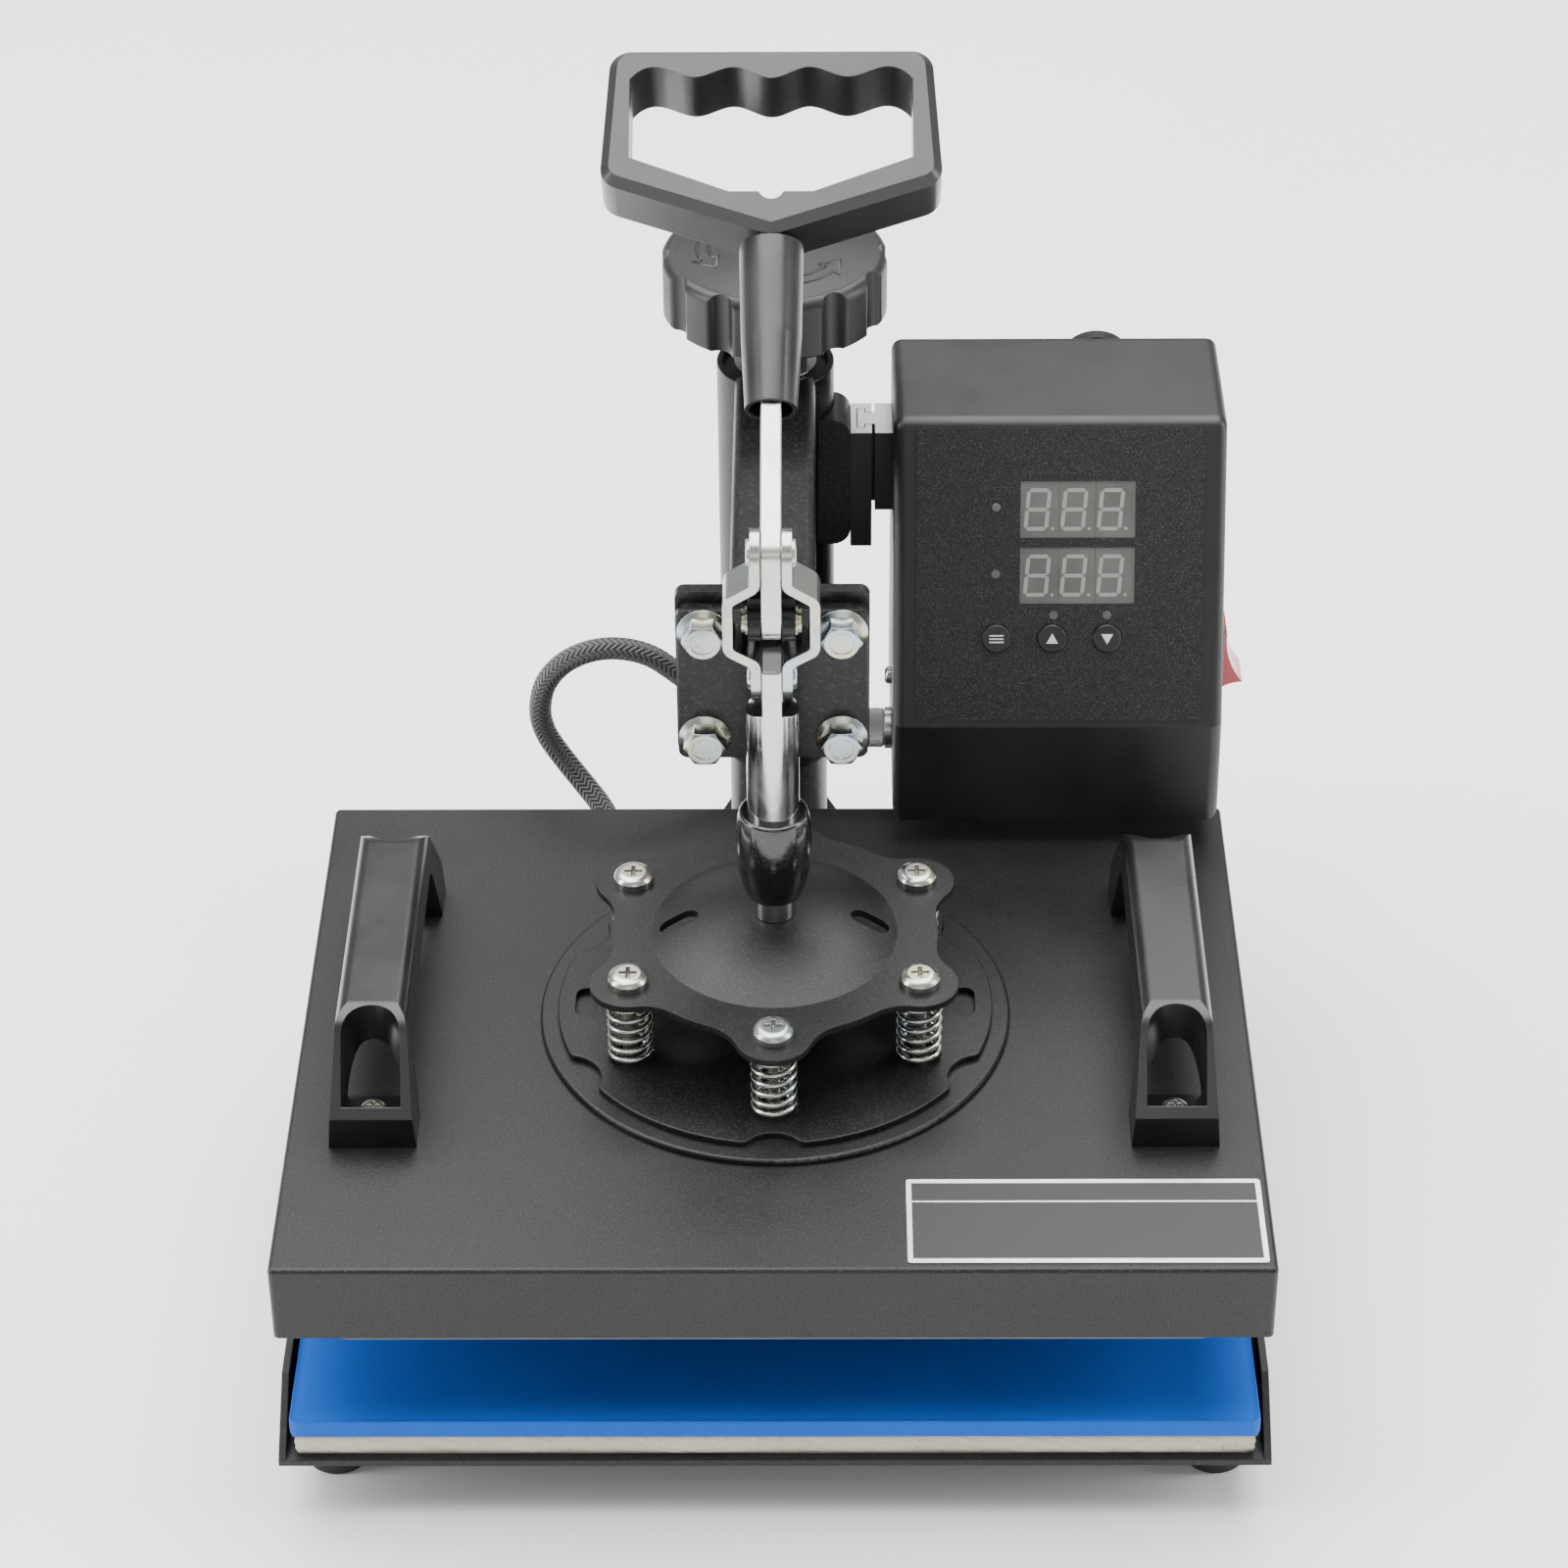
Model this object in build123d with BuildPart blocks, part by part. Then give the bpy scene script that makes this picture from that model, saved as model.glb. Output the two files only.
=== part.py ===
from build123d import *
import os
from math import asin, atan2, cos, degrees, pi, radians, sin, sqrt, tan

# Swing-away flatbed heat press with a toggle lever, a sprung heating platen and a digital control box.
# Millimetres. X is to the operator's right, Y points away from the operator and Z is up.
# The origin is on the floor, on the press axis, which is the axis of the plunger.

os.makedirs("parts", exist_ok=True)

# ---------------------------------------------------------------- driving dimensions
# Heating platen
cover_w = 400
cover_d = 310
platen_y = -7
cover_top = 140
cover_skirt = 36
sheet = 2
heater_w = 380
heater_d = 290
heater_t = 14
heater_bottom = 93

# Lower platen and base
mat_w = 397
mat_d = 300
mat_t = 9.5
felt_t = 10.5
tray_w = 407
tray_floor_top = 33
tray_wall = 3
tray_lip_top = 54
foot_h = 12
rail_x = 184
rail_w = 30
rail_h = 18
rail_front = -130
rail_back = 262
tube_wall = 1.5

# Post, arm and pressure screw
post_y = 216
post_r = 22.5
post_wall = 3
post_top = 318
running_gap = 0.05
sleeve_r = 25.75
sleeve_inner_r = 23.2
sleeve_bottom = 130
sleeve_top = 334
cap_bottom = 324
cap_top = 331
spindle_r = 8
knob_r = 49
knob_bottom = 361
knob_h = 30
knob_notches = 12
beam_w = 35
beam_top = 337
beam_h = 45
flange_t = 6
plate_front = 20
bolt_x = 28
bolt_heights = (269.5, 321.5)
bolt_r = 5
hex_flat = 15
flange_r = 10.75
bolt_flange_t = 2.4
bolt_head_h = 9.6

# Toggle: fixed pivot, upper link pin and lower link pin, all on the press axis when the lever is up
pivot_z = 340
crank = 32
link_length = 58
lever_lean = 56
closed_angle = 115
pin_r = 4
bar_t = 8.3
bar_half = 7.5
ear_gap = 8.6
ear_t = 5.2
link_t = 4
link_half = 10
neck_in = 4.35
flare_out = 19.4

# Plunger, spider and springs
rod_r = 10.75
stub_r = 9
stub_bottom = 195
rod_bottom = 206
tongue_half = 3.9
guide_bottom = 206
guide_top = 247
screw_circle_r = 69.5
screw_count = 6
spider_bottom = 181
spider_t = 3
dome_r = 51.5
seat_bottom = 143
disc_bottom = 140
spring_r = 8.5
wire_r = 1.3
spring_pitch = 5

# Control box
box_left = 51.4
box_right = 196
box_top = 327
box_bottom = 153
box_back = 246
box_wall = 2.5
slope_top_y = 174.85
slope_bottom_y = 123.5
slope_bottom_z = 201
box_front_y = 120

# ---------------------------------------------------------------- derived values
platen_back = platen_y + cover_d / 2
platen_front = platen_y - cover_d / 2
heater_top = heater_bottom + heater_t
mat_top = tray_floor_top + felt_t + mat_t
tray_bottom = tray_floor_top - tray_wall
upper_pin_z = pivot_z + crank
lower_pin_z = upper_pin_z - link_length
screw_angle = 360 / screw_count
spider_top = spider_bottom + spider_t
seat_top = seat_bottom + 3
plate_back = plate_front + flange_t
flange_back = plate_back + flange_t
press_gap = heater_bottom - mat_top
box_mid_x = (box_left + box_right) / 2
slope_rise = box_top - slope_bottom_z
slope_run = slope_top_y - slope_bottom_y
slope_angle = degrees(atan2(slope_run, slope_rise))
screw_points = [
    (screw_circle_r * cos(radians(30 + k * screw_angle)), screw_circle_r * sin(radians(30 + k * screw_angle)))
    for k in range(screw_count)
]


def tilted(z_dir, origin):
    """Plane with its x axis along X, facing z_dir."""
    return Plane(origin=origin, x_dir=(1, 0, 0), z_dir=z_dir)


def cap_radius(reach, rise):
    """Radius of a spherical cap that rises by rise over a rim of radius reach."""
    return (reach**2 + rise**2) / (2 * rise)


def flange_bolt(shank_r, shank_len):
    """Hexagon bolt with a washer flange: bearing face at z = 0, head above it, shank below."""
    with BuildPart() as bolt:
        with BuildSketch():
            RegularPolygon(hex_flat / 2, 6, major_radius=False)
        extrude(amount=bolt_head_h)
        with BuildSketch(Plane.XZ):
            Polygon((0, 0), (9.4, 0), (9.4, bolt_head_h - 1.2), (7, bolt_head_h), (0, bolt_head_h), align=None)
        revolve(axis=Axis.Z, mode=Mode.INTERSECT)
        with BuildSketch(Plane.XZ):
            Polygon((0, 0), (flange_r, 0), (flange_r, 0.9), (8.2, bolt_flange_t), (0, bolt_flange_t), align=None)
        revolve(axis=Axis.Z)
        with BuildSketch(Plane.XY.offset(bolt_head_h - 0.5)):
            Circle(5)
        extrude(amount=1, mode=Mode.SUBTRACT)
        with BuildSketch():
            Circle(shank_r)
        extrude(amount=-shank_len)
    return bolt.part


def hex_nut(flat, height, bore_r):
    """Plain hexagon nut standing on z = 0."""
    with BuildPart() as nut:
        with BuildSketch():
            RegularPolygon(flat / 2, 6, major_radius=False)
        extrude(amount=height)
        with BuildSketch(Plane.XZ):
            Polygon((0, 0), (flat * 0.5, 0), (flat * 0.6, 1), (flat * 0.6, height - 1), (flat * 0.5, height),
                    (0, height), align=None)
        revolve(axis=Axis.Z, mode=Mode.INTERSECT)
        with BuildSketch():
            Circle(bore_r)
        extrude(amount=height, mode=Mode.SUBTRACT)
    return nut.part


def pan_screw(head_r, head_h, shank_r, shank_len):
    """Cross-recess screw with a low domed head: bearing face at z = 0, head above it, shank below."""
    with BuildPart() as screw:
        with BuildSketch(Plane.XZ):
            with BuildLine():
                Polyline((0, head_h), (0, 0), (head_r, 0), (head_r, head_h * 0.55))
                ThreePointArc((head_r, head_h * 0.55), (head_r * 0.82, head_h * 0.88), (head_r * 0.5, head_h))
                Line((head_r * 0.5, head_h), (0, head_h))
            make_face()
        revolve(axis=Axis.Z)
        with BuildSketch(Plane.XY.offset(head_h)):
            Rectangle(head_r * 0.9, head_r * 0.2)
            Rectangle(head_r * 0.2, head_r * 0.9)
        extrude(amount=-head_h * 0.5, taper=12, mode=Mode.SUBTRACT)
        with BuildSketch():
            Circle(shank_r)
        extrude(amount=-shank_len)
    return screw.part


# Motion of the toggle, printed for the joint table: the press stroke and the link's swing at the closed lever.
closed = radians(closed_angle)
stroke = lower_pin_z - (pivot_z + crank * cos(closed) - sqrt(link_length**2 - (crank * sin(closed)) ** 2))
link_swing = degrees(asin(crank * sin(closed) / link_length))
print(f"press gap {press_gap:.2f}  stroke {stroke:.3f}  link swing {link_swing:.3f} degrees")

# ================================================================ base
rail_mid_z = foot_h + rail_h / 2
tray_screw_ys = (-100, 115)
foot_ys = (-120.5, 247)
small_screw_r = 2.5

with BuildPart() as base_rails:
    with BuildSketch(Plane.XZ.offset(-rail_back)):
        with Locations((-rail_x, rail_mid_z), (rail_x, rail_mid_z)):
            RectangleRounded(rail_w, rail_h, 2.5)
            RectangleRounded(rail_w - 2 * tube_wall, rail_h - 2 * tube_wall, 1, mode=Mode.SUBTRACT)
    extrude(amount=rail_back - rail_front)
    with Locations(*[(side * rail_x, y, foot_h) for side in (-1, 1) for y in foot_ys]):
        Cylinder(small_screw_r, 4, mode=Mode.SUBTRACT)
    with Locations(*[(side * rail_x, y, foot_h + rail_h) for side in (-1, 1) for y in tray_screw_ys]):
        Cylinder(small_screw_r, 4, mode=Mode.SUBTRACT)
base_rails.part.label = "base_rails"
export_step(base_rails.part, "parts/base_rails.step")

# Cross tubes between the rails: two under the tray and a wide one that carries the post.
crossbar_len = 2 * rail_x - rail_w
wide_bar = 62
with BuildPart() as base_crossbars:
    with BuildSketch(Plane.YZ.offset(-crossbar_len / 2)):
        for bar_y, bar_w in ((-110, rail_w), (105, rail_w), (post_y, wide_bar)):
            with Locations((bar_y, rail_mid_z)):
                RectangleRounded(bar_w, rail_h, 2.5)
                RectangleRounded(bar_w - 2 * tube_wall, rail_h - 2 * tube_wall, 1, mode=Mode.SUBTRACT)
    extrude(amount=crossbar_len)
base_crossbars.part.label = "base_crossbars"
export_step(base_crossbars.part, "parts/base_crossbars.step")

# Foot plate of the post, with four welded gussets.
post_plate_top = tray_bottom + 8
gusset_reach = 30
gusset_rise = 48
with BuildPart() as post_plate:
    with BuildSketch(Plane.XY.offset(tray_bottom)):
        with Locations((0, post_y)):
            RectangleRounded(130, 86, 8)
    extrude(amount=post_plate_top - tray_bottom)
    for k in range(4):
        turn = radians(45 + 90 * k)
        out = Vector(cos(turn), sin(turn), 0)
        corner = Vector(0, post_y, post_plate_top) + out * post_r
        with BuildSketch(Plane(origin=corner, x_dir=out, z_dir=out.cross(Vector(0, 0, 1)))):
            Polygon((0, 0), (gusset_reach, 0), (gusset_reach, 5), (5, gusset_rise), (0, gusset_rise), align=None)
        extrude(amount=2.5, both=True)
post_plate.part.label = "post_plate"
export_step(post_plate.part, "parts/post_plate.step")

with BuildPart() as post_tube:
    with BuildSketch(Plane.XY.offset(post_plate_top)):
        with Locations((0, post_y)):
            Circle(post_r)
            Circle(post_r - post_wall, mode=Mode.SUBTRACT)
    extrude(amount=post_top - post_plate_top)
    chamfer(post_tube.edges().filter_by(GeomType.CIRCLE).group_by(Axis.Z)[-1], 0.6)
post_tube.part.label = "post_tube"
export_step(post_tube.part, "parts/post_tube.step")

# Nut fixed inside the post, which the pressure spindle turns in.
post_nut_h = 30
post_nut_top = 306
with BuildPart() as post_nut:
    with BuildSketch(Plane.XY.offset(post_nut_top - post_nut_h)):
        with Locations((0, post_y)):
            Circle(post_r - post_wall)
            Circle(spindle_r + running_gap, mode=Mode.SUBTRACT)
    extrude(amount=post_nut_h)
post_nut.part.label = "post_nut"
export_step(post_nut.part, "parts/post_nut.step")

# Folded tray: floor, two side lips that slope down at the front, and a low rear lip.
tray_front = -159
tray_back = 149
lip_slope = 30
with BuildPart() as lower_tray:
    with BuildSketch(Plane.XY.offset(tray_bottom)):
        with Locations((0, (tray_front + tray_back) / 2)):
            Rectangle(tray_w, tray_back - tray_front)
    extrude(amount=tray_lip_top - tray_bottom)
    with BuildSketch(Plane.XY.offset(tray_floor_top)):
        with Locations((0, (tray_front + tray_back - tray_wall) / 2)):
            Rectangle(tray_w - 2 * tray_wall, tray_back - tray_front - tray_wall)
    extrude(amount=tray_lip_top, mode=Mode.SUBTRACT)
    with BuildSketch(Plane.YZ.offset(-tray_w)):
        Polygon(
            (tray_front, tray_floor_top),
            (tray_front + lip_slope, tray_lip_top),
            (tray_front + lip_slope, tray_lip_top + 10),
            (tray_front - 10, tray_lip_top + 10),
            (tray_front - 10, tray_floor_top),
            align=None,
        )
    extrude(amount=2 * tray_w, mode=Mode.SUBTRACT)
    fillet(lower_tray.edges().filter_by(Axis.Z).group_by(Axis.Y)[-1], 4)
    with Locations(*[(side * rail_x, y, tray_floor_top) for side in (-1, 1) for y in tray_screw_ys]):
        CounterSinkHole(small_screw_r, 4.8, 5)
lower_tray.part.label = "lower_tray"
export_step(lower_tray.part, "parts/lower_tray.step")

with BuildPart() as felt_pad:
    with BuildSketch(Plane.XY.offset(tray_floor_top)):
        with Locations((0, platen_y)):
            RectangleRounded(mat_w, mat_d, 3)
    extrude(amount=felt_t)
felt_pad.part.label = "felt_pad"
export_step(felt_pad.part, "parts/felt_pad.step")

with BuildPart() as silicone_mat:
    with BuildSketch(Plane.XY.offset(tray_floor_top + felt_t)):
        with Locations((0, platen_y)):
            RectangleRounded(mat_w, mat_d, 3)
    extrude(amount=mat_t)
    fillet(silicone_mat.faces().sort_by(Axis.Z)[-1].edges(), 1.2)
silicone_mat.part.label = "silicone_mat"
export_step(silicone_mat.part, "parts/silicone_mat.step")

# Four screw-on rubber feet, each a short cone with a recess for its screw.
with BuildPart() as rubber_feet:
    with BuildSketch(Plane.XY):
        with Locations(*[(side * rail_x, y) for side in (-1, 1) for y in foot_ys]):
            Circle(13.5)
    extrude(amount=foot_h, taper=-6)
    fillet(rubber_feet.faces().group_by(Axis.Z)[0].edges(), 1)
    with Locations(*[(side * rail_x, y, 2.5) for side in (-1, 1) for y in foot_ys]):
        Cylinder(5.5, 5, mode=Mode.SUBTRACT)
    with Locations(*[(side * rail_x, y, foot_h / 2) for side in (-1, 1) for y in foot_ys]):
        Cylinder(small_screw_r, foot_h, mode=Mode.SUBTRACT)
rubber_feet.part.label = "rubber_feet"
export_step(rubber_feet.part, "parts/rubber_feet.step")

# Foot screws from below and countersunk tray screws from above.
with BuildPart() as base_screws:
    for side in (-1, 1):
        for y in foot_ys:
            with BuildSketch(Plane.XY.offset(5)):
                with Locations((side * rail_x, y)):
                    Circle(small_screw_r)
            extrude(amount=15)
            with BuildSketch(Plane.XY.offset(2)):
                with Locations((side * rail_x, y)):
                    Circle(4.8)
            extrude(amount=3)
        for y in tray_screw_ys:
            with BuildSketch(Plane.XY.offset(19)):
                with Locations((side * rail_x, y)):
                    Circle(small_screw_r)
            extrude(amount=tray_floor_top - 19)
            with Locations((side * rail_x, y, tray_floor_top - 1.1)):
                Cone(small_screw_r, 4.6, 2.1)
base_screws.part.label = "base_screws"
export_step(base_screws.part, "parts/base_screws.step")

# ================================================================ pressure screw
# Ring between the arm's cap and the knob: it rides up and down with the arm and doesn't turn.
washer_top = 334
with BuildPart() as thrust_washer:
    with BuildSketch(Plane.XY.offset(cap_top + running_gap)):
        with Locations((0, post_y)):
            Circle(18)
            Circle(spindle_r + running_gap, mode=Mode.SUBTRACT)
    extrude(amount=washer_top - cap_top - running_gap)
thrust_washer.part.label = "thrust_washer"
export_step(thrust_washer.part, "parts/thrust_washer.step")

# Spindle with a collar under the cap, which pulls the arm down.
spindle_top = knob_bottom + 14
collar_r = 12
with BuildPart() as pressure_spindle:
    with BuildSketch(Plane.XY.offset(256)):
        with Locations((0, post_y)):
            Circle(spindle_r)
    extrude(amount=spindle_top - 256)
    with BuildSketch(Plane.XY.offset(cap_bottom - 5)):
        with Locations((0, post_y)):
            Circle(collar_r)
    extrude(amount=4.9)
    chamfer(pressure_spindle.faces().sort_by(Axis.Z)[0].edges(), 1.5)
pressure_spindle.part.label = "pressure_spindle"
export_step(pressure_spindle.part, "parts/pressure_spindle.step")

# Lobed knob: domed disc, scalloped rim, hub below and a hollow underside.
knob_top = knob_bottom + knob_h
hub_bottom = washer_top + running_gap
shoulder_r = knob_r - 5
shoulder_z = knob_top - 2.6
with BuildPart() as pressure_knob:
    with BuildSketch(Plane.XY.offset(knob_bottom)) as lobes:
        with Locations((0, post_y)):
            Circle(knob_r)
            with PolarLocations(knob_r + 2.4, knob_notches, start_angle=2):
                Circle(6.2, mode=Mode.SUBTRACT)
        fillet(lobes.vertices(), 3)
    extrude(amount=knob_h)
    with BuildSketch(Plane.XZ.offset(-post_y)):
        with BuildLine():
            Polyline((0, knob_bottom), (knob_r - 1, knob_bottom), (knob_r, knob_bottom + 1), (knob_r, knob_top - 7))
            ThreePointArc((knob_r, knob_top - 7), (knob_r - 1.4, knob_top - 3.9), (shoulder_r, shoulder_z))
            RadiusArc((shoulder_r, shoulder_z), (0, knob_top), -cap_radius(shoulder_r, knob_top - shoulder_z))
            Line((0, knob_top), (0, knob_bottom))
        make_face()
    revolve(axis=Axis((0, post_y, 0), (0, 0, 1)), mode=Mode.INTERSECT)
    with BuildSketch(Plane.XY.offset(knob_bottom)):
        with Locations((0, post_y)):
            Circle(knob_r - 9)
            Circle(18, mode=Mode.SUBTRACT)
    extrude(amount=18, mode=Mode.SUBTRACT)
    with BuildSketch(Plane.XY.offset(hub_bottom)):
        with Locations((0, post_y)):
            Circle(14)
    extrude(amount=knob_bottom - hub_bottom)
    with BuildSketch(Plane.XY.offset(hub_bottom)):
        with Locations((0, post_y)):
            Circle(spindle_r)
    extrude(amount=spindle_top - hub_bottom, mode=Mode.SUBTRACT)
pressure_knob.part.label = "pressure_knob"
export_step(pressure_knob.part, "parts/pressure_knob.step")

# ================================================================ arm
# Sleeve that turns on the post, closed by a cap set down from its rim.
with BuildPart() as arm_sleeve:
    with BuildSketch(Plane.XY.offset(sleeve_bottom)):
        with Locations((0, post_y)):
            Circle(sleeve_r)
            Circle(sleeve_inner_r, mode=Mode.SUBTRACT)
    extrude(amount=sleeve_top - sleeve_bottom)
    chamfer(arm_sleeve.edges().filter_by(GeomType.CIRCLE).group_by(Axis.Z)[-1], 0.5)
    with BuildSketch(Plane.XY.offset(cap_bottom)):
        with Locations((0, post_y)):
            Circle(sleeve_inner_r)
            Circle(spindle_r + running_gap, mode=Mode.SUBTRACT)
    extrude(amount=cap_top - cap_bottom)
arm_sleeve.part.label = "arm_sleeve"
export_step(arm_sleeve.part, "parts/arm_sleeve.step")

bush_h = 25
with BuildPart() as arm_bushes:
    for bush_z in (sleeve_bottom, 275):
        with BuildSketch(Plane.XY.offset(bush_z)):
            with Locations((0, post_y)):
                Circle(sleeve_inner_r)
                Circle(post_r + running_gap, mode=Mode.SUBTRACT)
        extrude(amount=bush_h)
arm_bushes.part.label = "arm_bushes"
export_step(arm_bushes.part, "parts/arm_bushes.step")

# Rectangular tube from the sleeve to the flange, coped to the sleeve's round wall.
with BuildPart() as arm_beam:
    with BuildSketch(Plane.XZ.offset(-post_y)):
        with Locations((0, beam_top - beam_h / 2)):
            RectangleRounded(beam_w, beam_h, 4)
            RectangleRounded(beam_w - 6, beam_h - 6, 2, mode=Mode.SUBTRACT)
    extrude(amount=post_y - flange_back)
    with Locations((0, post_y, beam_top - beam_h / 2)):
        Cylinder(sleeve_r, 2 * beam_h, mode=Mode.SUBTRACT)
arm_beam.part.label = "arm_beam"
export_step(arm_beam.part, "parts/arm_beam.step")

bolt_points = [(side * bolt_x, z) for side in (-1, 1) for z in bolt_heights]
with BuildPart() as arm_flange:
    with BuildSketch(Plane.XZ.offset(-flange_back)):
        with Locations((0, 297.5)):
            RectangleRounded(79, 79, 4)
        with Locations(*bolt_points):
            Circle(bolt_r, mode=Mode.SUBTRACT)
    extrude(amount=flange_t)
    fillet(arm_flange.faces().group_by(Axis.Y)[-1].edges().filter_by(GeomType.LINE), 0.8)
arm_flange.part.label = "arm_flange"
export_step(arm_flange.part, "parts/arm_flange.step")

with BuildPart() as toggle_plate:
    with BuildSketch(Plane.XZ.offset(-plate_back)):
        with Locations((0, 295)):
            RectangleRounded(78, 73, 4)
        with Locations(*bolt_points):
            Circle(bolt_r, mode=Mode.SUBTRACT)
    extrude(amount=flange_t)
    chamfer(toggle_plate.faces().sort_by(Axis.Y)[0].outer_wire().edges(), 0.7)
toggle_plate.part.label = "toggle_plate"
export_step(toggle_plate.part, "parts/toggle_plate.step")

# Two ears welded to the toggle plate, holding the fixed pivot clear in front of it.
ear_r = 8
with BuildPart() as clevis_ears:
    for side in (-1, 1):
        with BuildSketch(Plane.YZ.offset(side * (ear_gap + ear_t) / 2)):
            with BuildLine():
                Polyline((plate_front, 311), (11, pivot_z - ear_r), (0, pivot_z - ear_r))
                ThreePointArc((0, pivot_z - ear_r), (-ear_r, pivot_z), (0, pivot_z + ear_r))
                Polyline((0, pivot_z + ear_r), (6, pivot_z + 6.5), (plate_front, 331), (plate_front, 311))
            make_face()
            with Locations((0, pivot_z)):
                Circle(pin_r, mode=Mode.SUBTRACT)
        extrude(amount=ear_t / 2, both=True)
clevis_ears.part.label = "clevis_ears"
export_step(clevis_ears.part, "parts/clevis_ears.step")

# Fixed pivot: a pin through both ears, with a washer and a domed head at each end.
ear_outer = ear_gap / 2 + ear_t
with BuildPart() as pivot_pin:
    with BuildSketch(Plane.YZ.offset(-ear_outer - 2.6)):
        with Locations((0, pivot_z)):
            Circle(pin_r)
    extrude(amount=2 * ear_outer + 5.2)
    for side in (-1, 1):
        with BuildSketch(Plane.YZ.offset(side * (ear_outer + 0.5))):
            with Locations((0, pivot_z)):
                Circle(6)
        extrude(amount=0.5, both=True)
        with BuildSketch(Plane.YZ.offset(side * (ear_outer + 1.9))):
            with Locations((0, pivot_z)):
                Circle(5)
        extrude(amount=0.9, both=True)
    fillet(pivot_pin.edges().filter_by(GeomType.CIRCLE).group_by(Axis.X)[0], 0.6)
    fillet(pivot_pin.edges().filter_by(GeomType.CIRCLE).group_by(Axis.X)[-1], 0.6)
pivot_pin.part.label = "pivot_pin"
export_step(pivot_pin.part, "parts/pivot_pin.step")

# Bolts through both plates, heads to the front and nuts behind.
front_facing = (90, 0, 0)
with BuildPart() as plate_bolts:
    with Locations(*[Location((x, plate_front, z), front_facing) for x, z in bolt_points]):
        add(flange_bolt(bolt_r, 24))
    with Locations(*[Location((x, flange_back, z), (-90, 0, 0)) for x, z in bolt_points]):
        add(hex_nut(hex_flat, 8, bolt_r + running_gap))
plate_bolts.part.label = "plate_bolts"
export_step(plate_bolts.part, "parts/plate_bolts.step")

# Barrel that guides the plunger, with a web up its back to the toggle plate.
web_half = 4.5
web_top = 300
with BuildPart() as guide_sleeve:
    with BuildSketch(Plane.XZ):
        with BuildLine():
            ThreePointArc((12, guide_bottom), (15.9, guide_bottom + 24), (14.4, guide_top - 1.5))
            ThreePointArc((14.4, guide_top - 1.5), (13.7, guide_top - 0.3), (12.8, guide_top))
            Polyline((12.8, guide_top), (0, guide_top), (0, guide_bottom), (12, guide_bottom))
        make_face()
    revolve(axis=Axis.Z)
    with BuildSketch(Plane.YZ):
        Polygon((8, guide_bottom + 12), (16, guide_bottom + 12), (plate_front, 264), (plate_front, web_top),
                (rod_r + 0.6, web_top), (rod_r + 0.6, guide_top), (8, guide_top), align=None)
    extrude(amount=web_half, both=True)
    with BuildSketch(Plane.XY.offset(guide_bottom)):
        Circle(rod_r + running_gap)
    extrude(amount=guide_top - guide_bottom, mode=Mode.SUBTRACT)
guide_sleeve.part.label = "guide_sleeve"
export_step(guide_sleeve.part, "parts/guide_sleeve.step")

# ================================================================ lever
# Flat bar: short crank from the fixed pivot to the link pin, then a long arm leaning back into the grip.
lean = radians(lever_lean)
arm_dir = Vector(0, sin(lean), cos(lean))
grip_plane = tilted((0, -cos(lean), sin(lean)), (0, 0, upper_pin_z))
bar_end = 112
with BuildPart() as lever_bar:
    with BuildSketch(Plane.YZ):
        with Locations((0, pivot_z + crank / 2)):
            SlotCenterToCenter(crank, 2 * bar_half, rotation=90)
        with Locations((bar_end / 2 * sin(lean), upper_pin_z + bar_end / 2 * cos(lean))):
            Rectangle(bar_end, 2 * bar_half, rotation=90 - lever_lean)
        with Locations((0, pivot_z), (0, upper_pin_z)):
            Circle(pin_r + running_gap, mode=Mode.SUBTRACT)
    extrude(amount=bar_t / 2, both=True)
    fillet(lever_bar.edges().filter_by(GeomType.LINE).filter_by(Axis((0, 0, 0), tuple(arm_dir))), 0.8)
lever_bar.part.label = "lever_bar"
export_step(lever_bar.part, "parts/lever_bar.step")

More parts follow.
